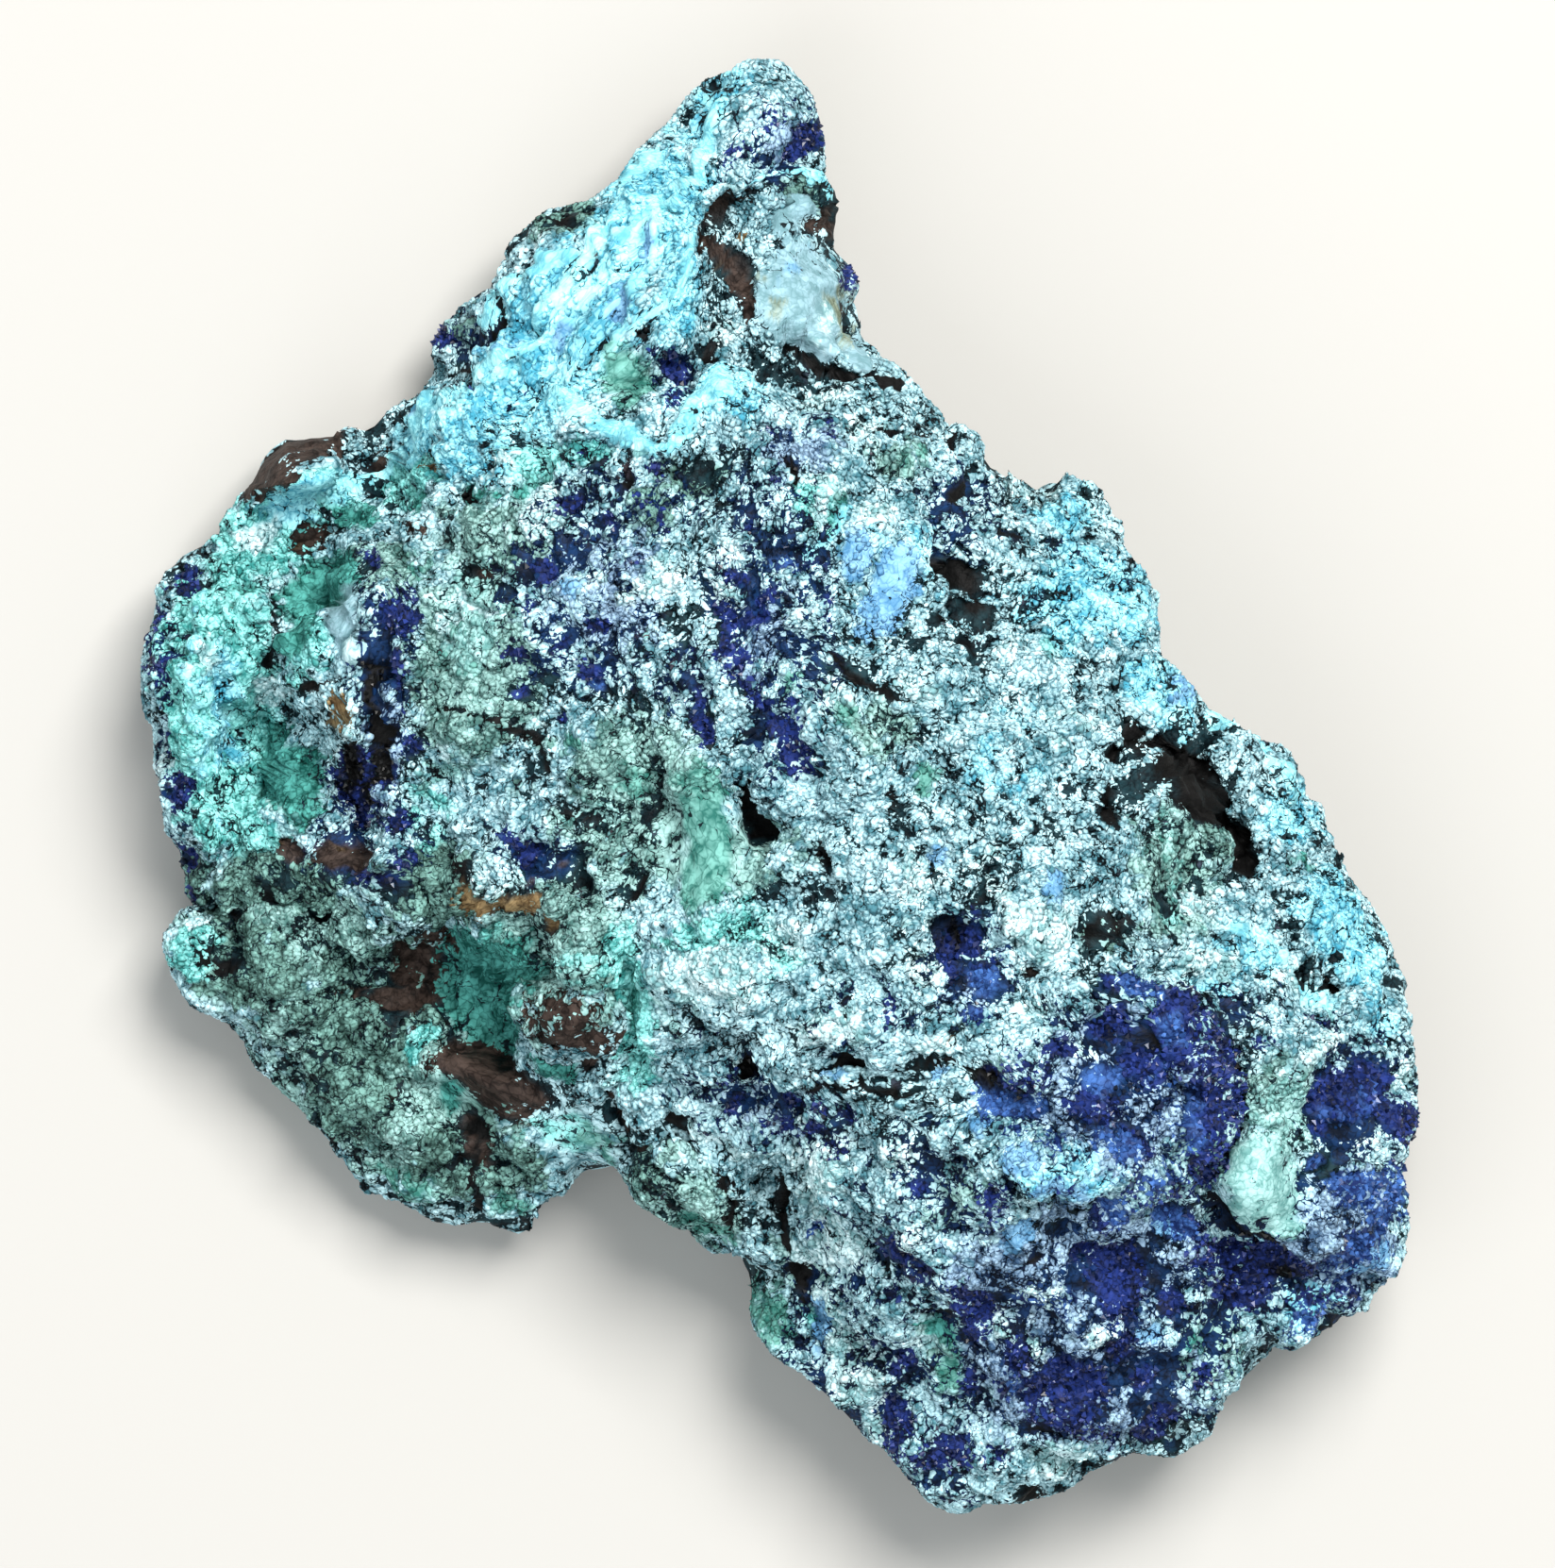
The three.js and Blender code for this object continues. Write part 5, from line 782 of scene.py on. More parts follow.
def mineral_covers(x, y, z, upper):
    """Cover of every mineral at points x, y, z; the ovals' edges are drawn out by two sizes of waves.

    The underside, where upper is false, has none of the placed patches. Three stains lie there in
    their stead: smooth(times x wave + more), the brown one beginning some way in from the rim.
    """
    u, v = x + layered(EDGE_DRIFT, 301, x, y, z), y + layered(EDGE_DRIFT, 303, x, y, z)
    covers = {name: np.where(upper, oval_cover(*MINERALS[name], u, v), 0) for name in MINERALS}
    stain_waves = {
        "broad": layered(BROAD_STAIN, 311, x, y, z), "streaky": layered(STREAKY_STAIN, 313, x, y, z),
    }
    inward = near_line(CLOSED_RIM, x, y)[0] + BROWN_FRAY * stain_waves["streaky"] - BROWN_START
    for name, (kind, times, more) in BASE_STAINS.items():
        stain = smooth(times * stain_waves[kind] + more)
        if name == "brown":
            stain = stain * smooth(inward / BROWN_BAND)
        covers[name] = np.where(upper, covers[name], stain)
    return covers


# The finer forms of the upper sheet and the crust on it.
FIBRE_LENGTH = 6         # length of a fibre, as a number of its widths
FIBRE_DEPTH = 3          # the same for how deep it runs
TERRACE_WAVES = [(2.1, 8), (0.8, 3.2), (0.25, 1.1)]   # heights, in steps, and sizes of what the layers follow
TERRACE_HEIGHT = 0.8     # height of the broken layers' steps
TERRACE_DROP = 0.14      # share of a step that is the steep drop at its edge
# The crust thinned on the steep drop of each step darkens it as painted shade.
EDGE_START, EDGE_BAND = 0.84, 0.06   # where on a step the crust begins to thin, and over how much of it
FLOW_HEIGHT = 0.5        # height of the crust's poured ridges
CRUST_THICKNESS = 0.32   # how far the pale crust stands over the bare rock in its gaps
CRUST_START, CRUST_BAND = 0.35, 0.3   # share at which it begins to stand up, and over how much more
CRUST_WAVES = [(0.34, 0.8), (0.24, 1.6), (0.1, 4.2)]  # amounts and sizes of the crust's own thick and thin
CRUST_SHARE = 0.86       # the crust's share on level rock, and what changes it:
# On crests, in grooves and on the edges of layers, this change is painted light and shade.
CRUST_ON_KNOBS, CREST_LIGHT_AND_GROOVE_SHADE, LAYER_EDGE_SHADE = 0.3, 0.28, 0.3
KNOB_RELIEF = 0.6        # fine relief that counts as a knob or, downwards, as a pit
CRUST_SHIFTS = {         # rock that breaks through the crust, then minerals that close it
    "azurite": -0.45, "blue_ground": -0.25, "brown": -0.75, "ochre": -0.7, "shade_and_black": -1.25, "lit": -0.15,
    "white_and_lit": 0.3, "sky": 0.3, "green": 0.3, "cyan": 0.16, "turquoise": 0.16, "teal": 0.35, "facet": 0.7,
    "flow": 0.45,
}
# The crust lost at the rim darkens it, partly as worn crust and partly as painted shade.
RIM_WEAR_AND_SHADE, RIM_DARK_REACH = 0.28, 0.9   # crust share lost at the broken rim, and how far in that is felt


def fibre_share(x, y, area):
    """How far each place lies along and across a fibre area, and its share in the area, 0 to 1."""
    middle_x, middle_y, long, wide, turn = area[:5]
    along, across = turned(x, y, middle_x, middle_y, turn)
    return along, across, smooth(1.6 * (1 - np.hypot(along / long, across / wide)))


def streaks(x, y, z):
    """Fibres and thin layers: waves drawn out along each area's own direction, height x (1 - 2 |wave|).

    Gives the height in millimetres and a number from -1 in the grooves to 1 on the crests.
    """
    total, crest = np.zeros(np.shape(x)), np.zeros(np.shape(x))
    for area in STREAKS:
        height, size = area[5:]
        along, across, share = fibre_share(x, y, area)
        ridges = layered([(1, size), (0.5, size / 2)], 401, along / FIBRE_LENGTH, across, z / FIBRE_DEPTH)
        total += height * share * (1 - 2 * abs(ridges))
        crest += share * (1 - 2 * abs(ridges))
    return total, np.clip(crest, -1, 1)


def terraces(x, y, z):
    """Broken layers: slow waves cut into steps that each climb gently and drop at a sharp edge.

    Gives the height in millimetres and, 0 to 1, how much of a place is such an edge.
    """
    level = layered(TERRACE_WAVES, 411, x, y, z)
    climb = level - np.floor(level)
    step = np.minimum(climb / (1 - TERRACE_DROP), (1 - climb) / TERRACE_DROP)
    return TERRACE_HEIGHT * (step - 0.5), smooth((climb - EDGE_START) / EDGE_BAND)


def crust_share(x, y, z, covers, relief, crest, edge, from_rim):
    """How much of a place the pale crust covers, 0 bare to 1 closed and more where it is thick.

    It is thick on knobs and thin in pits and in the open areas. It is also made thicker on crests
    and thinner in grooves, on the sharp edges of layers and at the broken rim, as painted light on
    the crests and painted shade in the rest; at the rim it is partly worn crust as well. Each
    mineral's cover, at most 1, adds or takes its own part.
    """
    share = CRUST_SHARE + CRUST_ON_KNOBS * np.clip(relief / KNOB_RELIEF, -1, 0.6)
    # More crust on the crests and less in the grooves and on the layers' edges: painted light and shade.
    share = share + CREST_LIGHT_AND_GROOVE_SHADE * crest - LAYER_EDGE_SHADE * edge + layered(CRUST_WAVES, 501, x, y, z)
    for middle_x, middle_y, long, wide, turn, amount in OPEN_CRUST:
        along, across = turned(x, y, middle_x, middle_y, turn)
        share = share - amount * smooth(1.5 * (1 - np.hypot(along / long, across / wide)))
    for name, amount in CRUST_SHIFTS.items():
        share = share + amount * np.minimum(covers[name], 1)
    # Thinner crust at the rim: partly worn crust, partly painted shade.
    return share - RIM_WEAR_AND_SHADE * np.exp(-from_rim / RIM_DARK_REACH)


# The plain form, the same as the solid's.
stone_faces, base_inside = skin_faces()
top_x, top_y = plan(TOP_CELLS)
base_x, base_y = (grid[base_inside] for grid in plan(BASE_CELLS))
flat_x, flat_y = np.concatenate([top_x.ravel(), base_x]), np.concatenate([top_y.ravel(), base_y])
height = np.concatenate([top_height(top_x, top_y).ravel(), base_height(base_x, base_y)])
plain_skin = np.stack([flat_x, flat_y, height], -1)
on_top = np.arange(len(flat_x)) < top_x.size

# The broken surface: every point moves out or in along its normal by the roughness, which fades
# towards the rim and on the smooth faces.
rim_distance, _ = near_line(CLOSED_RIM, flat_x, flat_y)
rise = abs(height - height_from(RIM_HEIGHTS, RIM_REACH, flat_x, flat_y))
rough_share = RIM_ROUGHNESS + (1 - RIM_ROUGHNESS) * smooth(np.hypot(rim_distance, rise) / ROUGH_FADE)
rough_share *= np.where(on_top, 1 - (1 - SMOOTH_ROUGHNESS) * calmness(flat_x, flat_y), 1)
knobs_height, grit_height = bumps(KNOB, *plain_skin.T), bumps(GRIT, *plain_skin.T)
fibre_height, fibre_crest = streaks(*plain_skin.T)
layer_height, layer_edge = terraces(*plain_skin.T)
stone_covers = mineral_covers(flat_x, flat_y, height, on_top)
fine_relief = grit_height + 0.5 * knobs_height
crust = crust_share(*plain_skin.T, stone_covers, fine_relief, fibre_crest, layer_edge, rim_distance)
fine_height = grit_height + fibre_height + layer_height + FLOW_HEIGHT * stone_covers["flow"]
roughness = bumps(CHUNK, *plain_skin.T) + knobs_height + np.where(on_top, fine_height, 0)
roughness += CRUST_THICKNESS * smooth((crust - CRUST_START) / CRUST_BAND)
roughness += sum(bumps(layer, *plain_skin.T) for layer in CRUMBS)
push = np.minimum(roughness * rough_share, rim_distance + RIM_BULGE)
skin = plain_skin + push[:, None] * point_normals(plain_skin, stone_faces)
skin[:, 2] = np.maximum(skin[:, 2], 0)

# The finished skin fills the solid's box exactly.
skin_low, skin_high = skin.min(0), skin.max(0)
fit = (cad_high - cad_low) / (skin_high - skin_low)
skin = (skin - (skin_low + skin_high) / 2) * fit + (cad_low + cad_high) / 2
skin_normals = point_normals(skin, stone_faces)


def piece_from_mesh(name, points, faces, values, finish, smooth_shaded=True):
    """A Blender object from points in millimetres; each value becomes an attribute of 1 or 3 numbers."""
    mesh = bpy.data.meshes.new(name)
    mesh.vertices.add(len(points))
    mesh.vertices.foreach_set("co", (points / 1000).astype(np.float32).ravel())
    mesh.loops.add(faces.size)
    mesh.loops.foreach_set("vertex_index", faces.astype(np.int32).ravel())
    mesh.polygons.add(len(faces))
    mesh.polygons.foreach_set("loop_start", np.arange(0, faces.size, 3, dtype=np.int32))
    mesh.polygons.foreach_set("use_smooth", np.full(len(faces), smooth_shaded))
    mesh.update(calc_edges=True)
    for key, value in values.items():
        kind, field = ("FLOAT", "value") if value.ndim == 1 else ("FLOAT_VECTOR", "vector")
        mesh.attributes.new(key, kind, "POINT").data.foreach_set(field, value.astype(np.float32).ravel())
    mesh.materials.append(finish)
    piece = bpy.data.objects.new(name, mesh)
    bpy.context.collection.objects.link(piece)
    return piece


# Each mineral's linear red, green and blue in its dark specks and in its bright grains. The first
# of each kind lies everywhere, and each later one over it.
CRUST_COLOURS = {
    "druse": ((0.055, 0.17, 0.21), (0.56, 0.83, 0.89)), "sage": ((0.05, 0.13, 0.12), (0.35, 0.59, 0.56)),
    # The dull grey-green below is partly the crust's own colour and partly painted shade.
    "dull_and_shaded": ((0.025, 0.06, 0.052), (0.19, 0.38, 0.34)), "turquoise": ((0.03, 0.21, 0.2), (0.36, 0.88, 0.85)),
    "cyan": ((0.045, 0.27, 0.38), (0.46, 0.93, 1)), "steel": ((0.03, 0.07, 0.14), (0.38, 0.56, 0.72)),
    "flow": ((0.11, 0.38, 0.46), (0.46, 0.96, 1)), "facet": ((0.13, 0.25, 0.28), (0.3, 0.48, 0.55)),
    "mint": ((0.1, 0.26, 0.25), (0.42, 0.71, 0.69)), "rust": ((0.12, 0.15, 0.1), (0.36, 0.43, 0.33)),
    "white_and_lit": ((0.17, 0.35, 0.37), (0.74, 0.94, 0.97)), "sky": ((0.065, 0.2, 0.36), (0.25, 0.49, 0.7)),
    "green": ((0.02, 0.12, 0.1), (0.18, 0.44, 0.39)), "teal": ((0.004, 0.06, 0.05), (0.09, 0.38, 0.34)),
}
GROUND_COLOURS = {
    "matrix": ((0.001, 0.004, 0.006), (0.011, 0.037, 0.046)),
    "blue_ground": ((0.001, 0.004, 0.012), (0.008, 0.034, 0.108)),
    "azurite": ((0.001, 0.003, 0.014), (0.017, 0.036, 0.19)),
    # The lit blue is painted light on the azurite.
    "lit": ((0.004, 0.014, 0.075), (0.055, 0.15, 0.43)),
    "brown": ((0.008, 0.005, 0.004), (0.06, 0.042, 0.035)),
    "ochre": ((0.07, 0.04, 0.016), (0.33, 0.23, 0.11)),
    # This black is partly dark rock and partly painted shade in cavities, pits and creases.
    "shade_and_black": ((0.001, 0.001, 0.001), (0.006, 0.006, 0.006)),
}
COLOUR_FRAY = [(0.26, 1), (0.2, 0.5)]    # amounts and sizes of the waves that fray the minerals' edges
COVER_START, COVER_BAND = 0.25, 0.3      # cover at which a mineral begins to show, and over how much more
FIBRE_PULL, GREATEST_PULL = 1.1, 0.82    # share of the way along the fibres that is taken out, for each
                                         # millimetre of their height, and the most of it

# The texture: its cells for each millimetre, then how far each part moves the tone and the crust's edge.
SLOW_NOISE, MID_NOISE, FINE_NOISE, BEND_NOISE = 0.3, 1, 3.2, 1.6
PLATES, FLAKES = 0.8, 1.9
BEND = 0.7                               # how far the cracks wander, in millimetres
TONE_PARTS = {"mid": 1.3, "fine": 0.42, "slow": 0.9, "flake_tone": 0.28, "grain_tone": 0.25}
GAP_PARTS = {"fine": 0.8, "mid": 0.9, "flake_gap": 0.6}
TONE_LIMITS = (-0.45, 0.45)              # the tone runs from dark to bright between these two sums
GAP_LIMITS = (0.38, 0.44)                # the crust closes between these two shares
ROCK_ROUGHNESS, CRUST_ROUGHNESS = 0.6, 0.8
# A flake's dark edge is painted shade, which makes each flake look domed.
FLAKE_EDGE_SHADE = (0.17, -0.2, 0.03)          # width of a flake's dark edge, its tone there and inside
PLATE_CRACK, FLAKE_CRACK = (0.065, -0.55), (0.1, -0.2)   # width of a crack and the crust share it takes


def mixed_colours(colours, covers, points):
    """The dark and the bright colour of every point: each mineral is laid over the ones before it.

    Its share is a smooth step of its cover, with ragged edges from two sizes of waves.
    """
    base, *over = colours
    pair = np.tile(np.array(colours[base]), (len(points), 1, 1))
    edge = layered(COLOUR_FRAY, 601, *points.T)
    for key in over:
        share = smooth((covers[key] + edge - COVER_START) / COVER_BAND)[:, None, None]
        pair = pair * (1 - share) + np.array(colours[key]) * share
    return pair[:, 0], pair[:, 1]


def flow_place(points):
    """Places drawn together along the fibres, so that the crust's flakes come out longer that way.

    For each fibre area, p - pull x share x (way from the middle along the fibres) x their direction,
    the pull being greater where the fibres are high.
    """
    placed = points.copy()
    for area in STREAKS:
        turn, height = area[4:6]
        along, _, share = fibre_share(points[:, 0], points[:, 1], area)
        direction = np.array([math.cos(math.radians(turn)), math.sin(math.radians(turn)), 0])
        placed -= (min(GREATEST_PULL, FIBRE_PULL * height) * share * along)[:, None] * direction
    return placed


def shader_node(tree, kind, inputs=(), **settings):
    """Adds a node, sets its properties, and fills or links its inputs, given as name and value."""
    node = tree.nodes.new(kind)
    for key, value in settings.items():
        setattr(node, key, value)
    for key, value in dict(inputs).items():
        if isinstance(value, bpy.types.NodeSocket):
            tree.links.new(value, node.inputs[key])
        else:
            node.inputs[key].default_value = value
    return node


def math_node(tree, first, second, operation="ADD"):
    """A Math node of two numbers or sockets."""
    return shader_node(tree, "ShaderNodeMath", {0: first, 1: second}, operation=operation).outputs[0]


def swayed(tree, value, parts, amounts):
    """A value plus amount x (part - 0.5) for each part that the amounts name."""
    for key, amount in amounts.items():
        if key in parts:
            centred = math_node(tree, parts[key], -0.5)
            value = math_node(tree, value, math_node(tree, centred, amount, "MULTIPLY"))
    return value


def step_up(tree, value, low, high, to_low=0.0, to_high=1.0):
    """A smooth rise from to_low to to_high as the value goes from low to high."""
    ranges = {"Value": value, "From Min": low, "From Max": high, "To Min": to_low, "To Max": to_high}
    return shader_node(tree, "ShaderNodeMapRange", ranges, interpolation_type="SMOOTHSTEP").outputs[0]


def attribute(tree, key, output="Fac"):
    """What a mesh attribute holds at the shaded place."""
    return shader_node(tree, "ShaderNodeAttribute", attribute_name=key).outputs[output]


def mixed(tree, share, first, second):
    """A colour between two colours."""
    ends = {0: share, 6: first, 7: second}
    return shader_node(tree, "ShaderNodeMix", ends, data_type="RGBA").outputs[2]


def toned(tree, tone, kind):
    """The crust's or the ground's colour between its dark and its bright one."""
    return mixed(tree, tone, *(attribute(tree, f"{kind}_{end}", "Color") for end in ("low", "high")))


def stone_finish(name, loose_grains=False):
    """The stone's material: pale crust colours over the colours of the rock that shows in its gaps.

    Both run between their dark and bright colour by one tone, made of slow, mid and fine noise and a
    number for each flake, and darkened towards each flake's edge as painted shade, so that the flakes
    look domed. The crust ends where its share, frayed by noise and cut by the cracks between plates
    and flakes, falls under a limit. On loose grains each grain's own tone is added.
    """
    material = bpy.data.materials.new(name)
    material.use_nodes = True
    tree = material.node_tree
    shader = tree.nodes["Principled BSDF"]
    place = attribute(tree, "flow_place", "Vector")

    def noise(scale, detail=2.0, output="Fac"):
        ends = {"Vector": place, "Scale": scale, "Detail": detail}
        return shader_node(tree, "ShaderNodeTexNoise", ends).outputs[output]

    bend = {0: noise(BEND_NOISE, 1, "Color"), "Scale": BEND}
    bent = {0: place, 1: shader_node(tree, "ShaderNodeVectorMath", bend, operation="SCALE").outputs[0]}
    bent_place = shader_node(tree, "ShaderNodeVectorMath", bent, operation="ADD").outputs[0]

    def cells(scale, feature, output):
        ends = {"Vector": bent_place, "Scale": scale}
        return shader_node(tree, "ShaderNodeTexVoronoi", ends, feature=feature).outputs[output]

    plate_edge, flake_edge = (cells(scale, "DISTANCE_TO_EDGE", "Distance") for scale in (PLATES, FLAKES))
    flake = shader_node(tree, "ShaderNodeSeparateColor", {0: cells(FLAKES, "F1", "Color")})
    parts = {"slow": noise(SLOW_NOISE), "mid": noise(MID_NOISE), "fine": noise(FINE_NOISE),
             "flake_gap": flake.outputs[0], "flake_tone": flake.outputs[1]}
    if loose_grains:
        parts["grain_tone"] = attribute(tree, "tone")

    edge_width, edge_tone, inner_tone = FLAKE_EDGE_SHADE
    # Each flake darkens towards its edge: painted shade.
    light = step_up(tree, flake_edge, 0, edge_width, edge_tone, inner_tone)
    tone = step_up(tree, swayed(tree, light, parts, TONE_PARTS), *TONE_LIMITS)
    share = attribute(tree, "crust")
    for edge, (width, loss) in ((plate_edge, PLATE_CRACK), (flake_edge, FLAKE_CRACK)):
        share = math_node(tree, share, step_up(tree, edge, 0, width, loss, 0))
    cover = step_up(tree, swayed(tree, share, parts, GAP_PARTS), *GAP_LIMITS)
    colour = mixed(tree, cover, toned(tree, tone, "ground"), toned(tree, tone, "crust"))
    tree.links.new(colour, shader.inputs["Base Color"])
    dryness = step_up(tree, cover, 0, 1, ROCK_ROUGHNESS, CRUST_ROUGHNESS)
    tree.links.new(dryness, shader.inputs["Roughness"])
    shader.inputs["Specular IOR Level"].default_value = 0.1
    bump = shader_node(tree, "ShaderNodeBump", {"Height": parts["fine"], "Strength": 0.5, "Distance": 0.0002})
    tree.links.new(bump.outputs["Normal"], shader.inputs["Normal"])
    return material


stone_values = {"crust": crust, "flow_place": flow_place(skin)}
for kind, colours in (("crust", CRUST_COLOURS), ("ground", GROUND_COLOURS)):
    stone_values[f"{kind}_low"], stone_values[f"{kind}_high"] = mixed_colours(colours, stone_covers, skin)
stone_material = stone_finish("copper_carbonate_crust")
stone = piece_from_mesh("azurite_malachite_crust", skin, stone_faces, stone_values, stone_material)
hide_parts("azurite_malachite_stone")
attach(stone, "root")


# ---------------------------------------------------------------------------------------------
# The druse: tens of thousands of tiny pale copper-mineral crystals grown side by side on the rock,
# each a stubby double pyramid half sunk in the crust. They are joined into a few loose sheets.
# ---------------------------------------------------------------------------------------------
GRAIN_SPACING = 0.36     # side of the cube that holds at most one grain's middle
GRAIN_TRIES = 400000     # random places that are tried
GRAIN_SIZE = (0.17, 0.36)     # least and greatest half-width
GRAIN_HEIGHT = (0.25, 0.6)    # least and greatest height, in half-widths
GRAIN_SIDES = 6
GRAINS_PER_PIECE = 16000
GRAIN_CRUST = 0.45       # least crust share that carries grains
BALD_LIMITS = (0.3, 0.9)      # grains end somewhere between these two baldnesses
BALD_FACES = 1.5         # how strongly the smooth faces, then each mineral, keep grains away
BALD_MINERALS = {
    "green": 1, "sky": 0.8, "facet": 1.6, "flow": 1.6, "cyan": 0.6, "teal": 1, "turquoise": 0.5, "sage": 0.4,
}
CUBE_ROW = 4096          # more cubes than the stone has along any side

# Unevenness of one small crystal: its ring's radii, how far it is drawn out and lifted, its tip's lean.
RING_UNEVEN, RING_DRAWN, RING_LIFT, TIP_LEAN = 0.5, 0.4, 0.3, 0.5
ROOT_DEPTH = 0.8         # depth of its lower tip, as a share of the upper tip's height


def spread_spots(spacing, tries, seed):
    """Random places on the upper sheet, at most one in each cube of the spacing.

    A place is a mix of its triangle's corners, 1 - u, u (1 - v) and u v, u being the root of a random
    number, so that every place is as likely. Gives the places, their corners' numbers and the mixes.
    """
    rng = np.random.default_rng(seed)
    top_faces = stone_faces[stone_faces.max(1) < top_x.size]
    a, b, c = (skin[top_faces[:, n]] for n in range(3))
    area = np.linalg.norm(np.cross(b - a, c - a), axis=1)
    pick = rng.choice(len(area), tries, p=area / area.sum())
    u, v = np.sqrt(rng.random(tries)), rng.random(tries)
    mix = np.stack([1 - u, u * (1 - v), u * v], -1)
    at = sum(share[:, None] * corner[pick] for share, corner in zip(mix.T, (a, b, c)))
    cube = np.floor(at / spacing).astype(np.int64) @ [1, CUBE_ROW, CUBE_ROW ** 2]
    _, keep = np.unique(cube, return_index=True)
    return at[keep], top_faces[pick[keep]], mix[keep]


def mixed_from(values, corners, mix):
    """A value of the stone's points, mixed from the corners of each spot's triangle."""
    return (values[corners] * (mix if values.ndim == 1 else mix[..., None])).sum(1)


def nearest_of(values, corners, mix):
    """A value of the stone's points, taken from the corner that each spot lies nearest to."""
    return values[corners[np.arange(len(corners)), mix.argmax(1)]]


def unit(vectors):
    """Vectors of length 1."""
    return vectors / np.linalg.norm(vectors, axis=1, keepdims=True)


def double_pyramids(middles, ups, half_widths, heights, sides, rng):
    """Points and triangles of one double pyramid per place: a ring of corners between two tips.

    Ring corner n is the middle + half-width x (cos, sin)(2 pi (n / sides + turn)), with uneven radii
    that are drawn out up to two fifths along one direction, and lifted a little. The upper tip leans.
    """
    count = len(middles)
    right = unit(np.cross(ups, np.where(abs(ups[:, 2:]) < 0.9, [[0, 0, 1]], [[1, 0, 0]])))
    front = np.cross(ups, right)
    turn = 2 * np.pi * (np.arange(sides)[None] / sides + rng.random((count, 1)))
    radius = half_widths[:, None] * (1 + RING_UNEVEN * (rng.random((count, sides)) - 0.5))
    drawn = RING_DRAWN * rng.random((count, 1))
    radius *= 1 + drawn * np.cos(2 * (turn - turn[:, :1] - rng.random((count, 1))))
    lift = heights[:, None] * RING_LIFT * (rng.random((count, sides)) - 0.5)
    ring = (middles[:, None] + (radius * np.cos(turn))[..., None] * right[:, None]
            + (radius * np.sin(turn))[..., None] * front[:, None] + lift[..., None] * ups[:, None])
    lean = TIP_LEAN * half_widths[:, None] * (rng.random((count, 2)) - 0.5)
    tip = middles + heights[:, None] * ups + lean[:, :1] * right + lean[:, 1:] * front
    root = middles - heights[:, None] * ROOT_DEPTH * ups
    points = np.concatenate([ring, tip[:, None], root[:, None]], 1)
    n = np.arange(sides)
    after = (n + 1) % sides
    upper = np.stack([n, after, np.full(sides, sides)], -1)
    lower = np.stack([after, n, np.full(sides, sides + 1)], -1)
    faces = np.concatenate([upper, lower])[None] + (np.arange(count) * (sides + 2))[:, None, None]
    return np.clip(points.reshape(-1, 3), cad_low, cad_high), faces.reshape(-1, 3)


grain_at, *grain_spots = spread_spots(GRAIN_SPACING, GRAIN_TRIES, 5)
grain_up = unit(mixed_from(skin_normals, *grain_spots))
baldness = BALD_FACES * calmness(mixed_from(flat_x, *grain_spots), mixed_from(flat_y, *grain_spots))
for key, amount in BALD_MINERALS.items():
    baldness = np.maximum(baldness, amount * mixed_from(stone_covers[key], *grain_spots))
grain_rng = np.random.default_rng(9)
wanted = mixed_from(crust, *grain_spots) > GRAIN_CRUST
wanted &= baldness < grain_rng.uniform(*BALD_LIMITS, len(grain_at))
order = grain_rng.permutation(np.flatnonzero(wanted))
druse_material = stone_finish("druse_grains", loose_grains=True)
for number, start in enumerate(range(0, len(order), GRAINS_PER_PIECE)):
    chosen = order[start:start + GRAINS_PER_PIECE]
    half = grain_rng.uniform(*GRAIN_SIZE, len(chosen))
    tall = half * grain_rng.uniform(*GRAIN_HEIGHT, len(chosen))
    points, faces = double_pyramids(grain_at[chosen], grain_up[chosen], half, tall, GRAIN_SIDES, grain_rng)
    values = {key: nearest_of(value, *grain_spots)[chosen] for key, value in stone_values.items()}
    values["tone"] = grain_rng.random(len(chosen))
    values = {key: np.repeat(value, GRAIN_SIDES + 2, axis=0) for key, value in values.items()}
    values["flow_place"] = flow_place(points)
    grains = piece_from_mesh(f"druse_grains_{number + 1}", points, faces, values, druse_material)
    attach(grains, "root")


# ---------------------------------------------------------------------------------------------
# The azurite crystals: dark blue, glassy and sharp, taller than the druse and standing every way.
# They grew on the blue ground, where the pale crust is thin or missing.
# ---------------------------------------------------------------------------------------------
CRYSTAL_SPACING = 0.42
CRYSTAL_TRIES = 200000
CRYSTAL_SIZE = (0.12, 0.26)
CRYSTAL_HEIGHT = (0.8, 1.7)
CRYSTAL_SIDES = 5
CRYSTAL_LEAN = 0.9       # width of the random lean that is added to a direction of length 1
CRYSTAL_GROUND = {"azurite": 1, "blue_ground": 0.35}   # how strongly each ground grows crystals
CRYSTAL_CRUST = 0.4      # how strongly the crust keeps them away
CRYSTAL_LIMITS = (0.3, 0.8)   # crystals begin somewhere between these two bluenesses

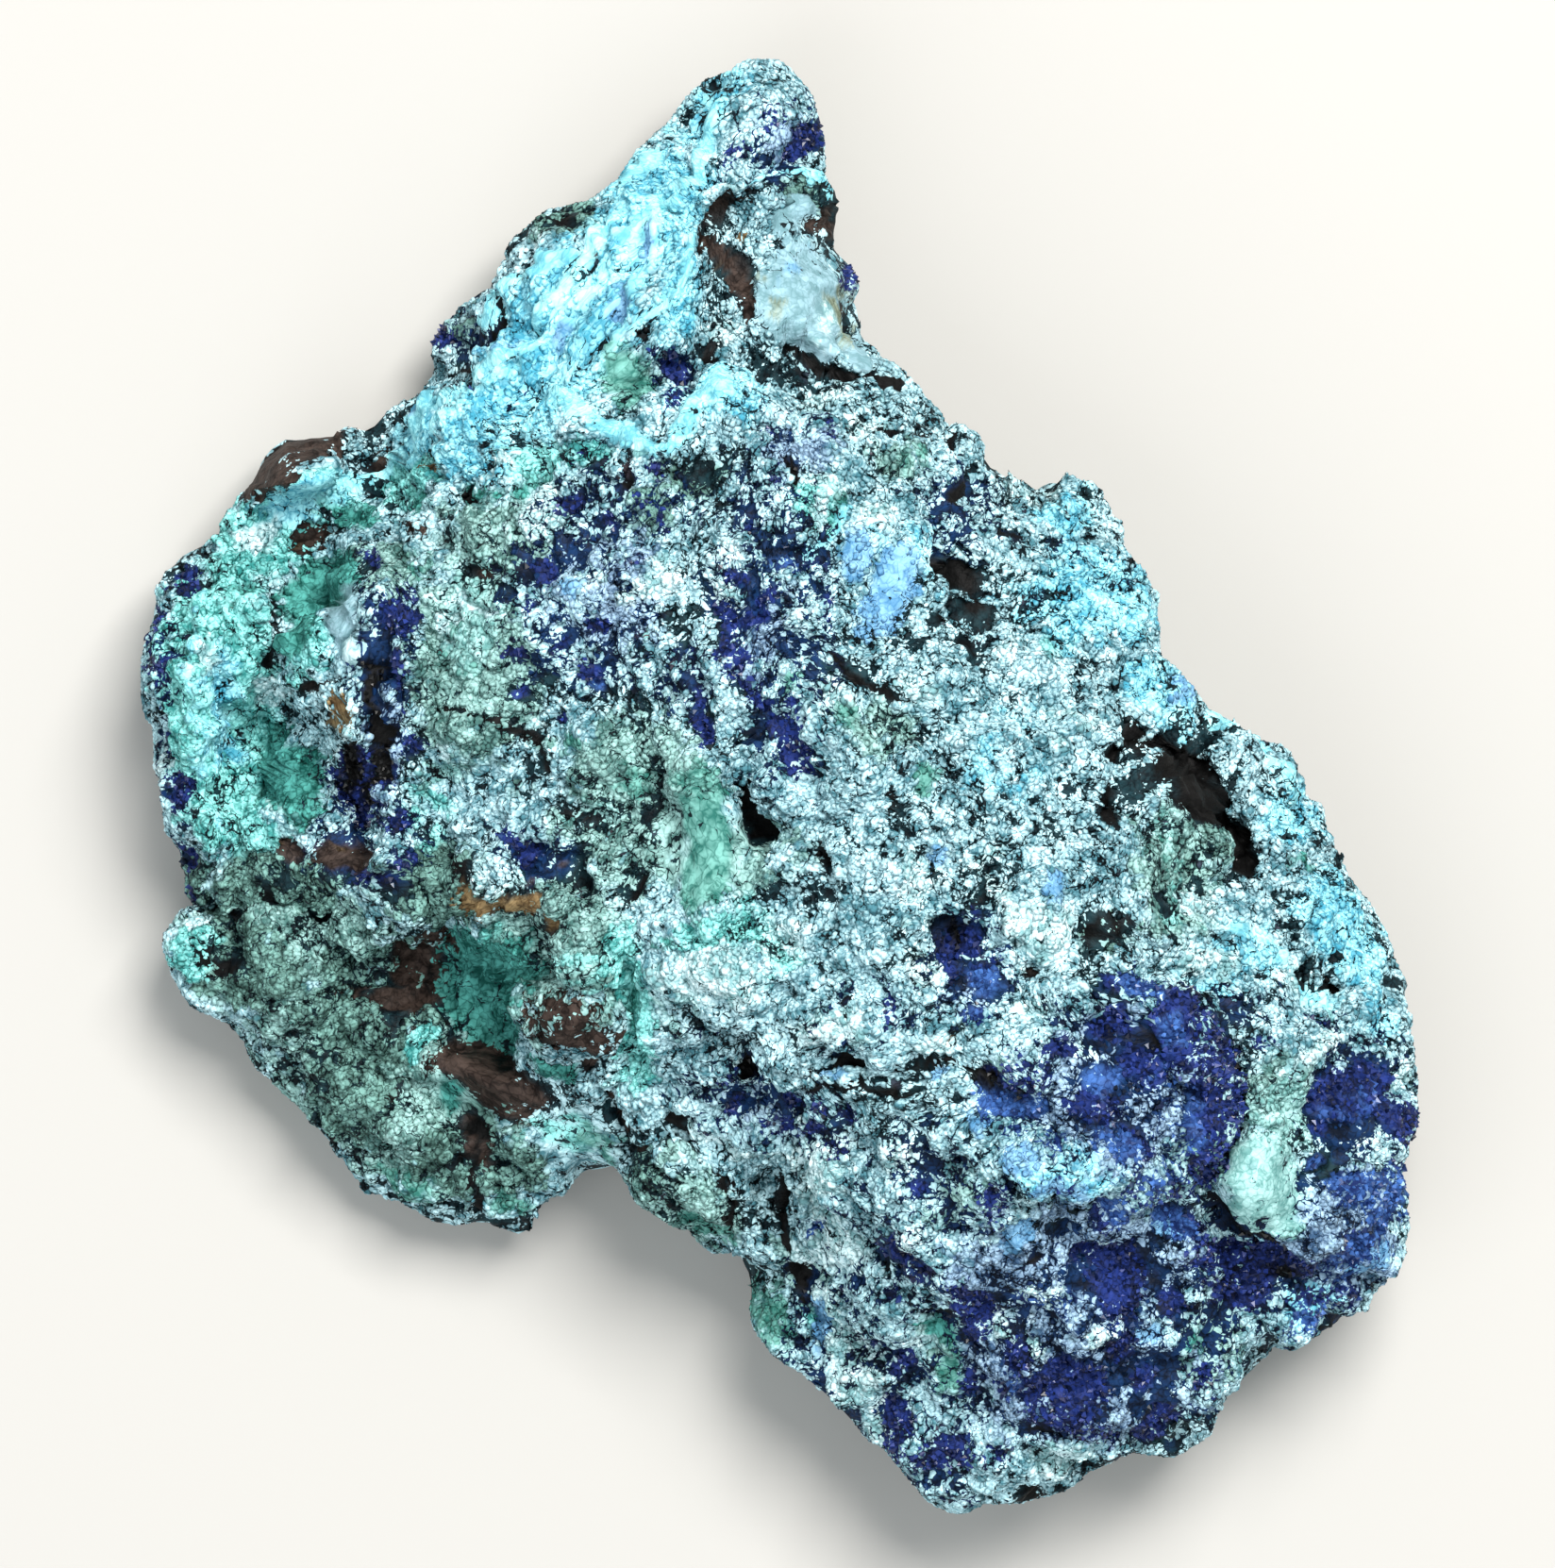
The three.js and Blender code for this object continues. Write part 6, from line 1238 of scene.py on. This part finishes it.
crystal_at, *crystal_spots = spread_spots(CRYSTAL_SPACING, CRYSTAL_TRIES, 15)
crystal_up = mixed_from(skin_normals, *crystal_spots)
crystal_up = unit(crystal_up + CRYSTAL_LEAN * (grain_rng.random(crystal_up.shape) - 0.5))
blueness = -CRYSTAL_CRUST * mixed_from(crust, *crystal_spots)
for key, amount in CRYSTAL_GROUND.items():
    blueness += amount * mixed_from(stone_covers[key], *crystal_spots)
chosen = np.flatnonzero(blueness > grain_rng.uniform(*CRYSTAL_LIMITS, len(crystal_at)))
half = grain_rng.uniform(*CRYSTAL_SIZE, len(chosen))
tall = half * grain_rng.uniform(*CRYSTAL_HEIGHT, len(chosen))
points, faces = double_pyramids(crystal_at[chosen], crystal_up[chosen], half, tall, CRYSTAL_SIDES, grain_rng)
values = {key: nearest_of(stone_values[key], *crystal_spots)[chosen] for key in ("ground_low", "ground_high")}
values["tone"] = grain_rng.random(len(chosen))
values = {key: np.repeat(value, CRYSTAL_SIDES + 2, axis=0) for key, value in values.items()}

crystal_material = bpy.data.materials.new("azurite_crystal")
crystal_material.use_nodes = True
tree = crystal_material.node_tree
shader = tree.nodes["Principled BSDF"]
tree.links.new(toned(tree, attribute(tree, "tone"), "ground"), shader.inputs["Base Color"])
shader.inputs["Roughness"].default_value = 0.28
shader.inputs["Specular IOR Level"].default_value = 0.3
crystals = piece_from_mesh("azurite_crystals", points, faces, values, crystal_material, smooth_shaded=False)
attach(crystals, "root")


# ---------------------------------------------------------------------------------------------
# The floor, the lights and the camera: a pale level sheet of paper, a soft key light from the upper
# right, a weaker fill light from the lower left, and the camera straight above the stone.
# ---------------------------------------------------------------------------------------------
FLOOR_HALF = 1.2         # metres, as are the other lengths of this section
FLOOR_COLOUR = (0.42, 0.41, 0.39, 1)
AIR_COLOUR, AIR_STRENGTH = (0.93, 0.97, 1, 1), 0.6
FRAME_HEIGHT = 0.103875  # what fills the picture from top to bottom, at the stone's middle height
CAMERA_HEIGHT = 0.9
MIDDLE_HEIGHT = 0.01
SENSOR = 36              # millimetres
FRAME_MIDDLE = (0, 0.3125)   # millimetres, in the rim's own frame

floor_mesh = bpy.data.meshes.new("pale_floor")
floor_corners = [(x * FLOOR_HALF, y * FLOOR_HALF, 0) for x, y in ((-1, -1), (1, -1), (1, 1), (-1, 1))]
floor_mesh.from_pydata(floor_corners, [], [(0, 1, 2, 3)])
floor = bpy.data.objects.new("pale_floor", floor_mesh)
bpy.context.collection.objects.link(floor)
floor_material = bpy.data.materials.new("pale_floor_paper")
floor_material.use_nodes = True
floor_shader = floor_material.node_tree.nodes["Principled BSDF"]
floor_shader.inputs["Base Color"].default_value = FLOOR_COLOUR
floor_shader.inputs["Roughness"].default_value = 0.9
floor_mesh.materials.append(floor_material)

bpy.context.scene.view_settings.view_transform = "Standard"
world = bpy.data.worlds.new("studio_air")
bpy.context.scene.world = world
world.use_nodes = True
world.node_tree.nodes["Background"].inputs["Color"].default_value = AIR_COLOUR
world.node_tree.nodes["Background"].inputs["Strength"].default_value = AIR_STRENGTH


def soft_light(name, power, size, azimuth, elevation, distance, colour):
    """A square area light that faces the stone, from a compass bearing and a height, in degrees."""
    lamp = bpy.data.lights.new(name, "AREA")
    lamp.energy, lamp.size, lamp.color = power, size, colour
    holder = bpy.data.objects.new(name, lamp)
    bearing, climb = math.radians(azimuth), math.radians(elevation)
    level = math.cos(climb)
    away = Vector((level * math.sin(bearing), level * math.cos(bearing), math.sin(climb)))
    holder.location = away * distance + Vector((0, 0, MIDDLE_HEIGHT))
    holder.rotation_euler = away.to_track_quat("Z", "Y").to_euler()
    bpy.context.collection.objects.link(holder)


soft_light("key_light", 18, 0.45, 30, 62, 1, (1, 0.98, 0.95))
soft_light("fill_light", 7, 1, 215, 50, 1.2, (0.92, 0.97, 1))

shift = (cad_low + cad_high) / 2 - (skin_low + skin_high) / 2
camera_data = bpy.data.cameras.new("camera")
camera_data.sensor_fit = "VERTICAL"
camera_data.sensor_height = SENSOR
camera_data.lens = SENSOR * (CAMERA_HEIGHT - MIDDLE_HEIGHT) / FRAME_HEIGHT
camera_data.clip_start = 0.01
camera = bpy.data.objects.new("camera", camera_data)
camera.location = ((FRAME_MIDDLE[0] + shift[0]) / 1000, (FRAME_MIDDLE[1] + shift[1]) / 1000, CAMERA_HEIGHT)
bpy.context.collection.objects.link(camera)
bpy.context.scene.camera = camera
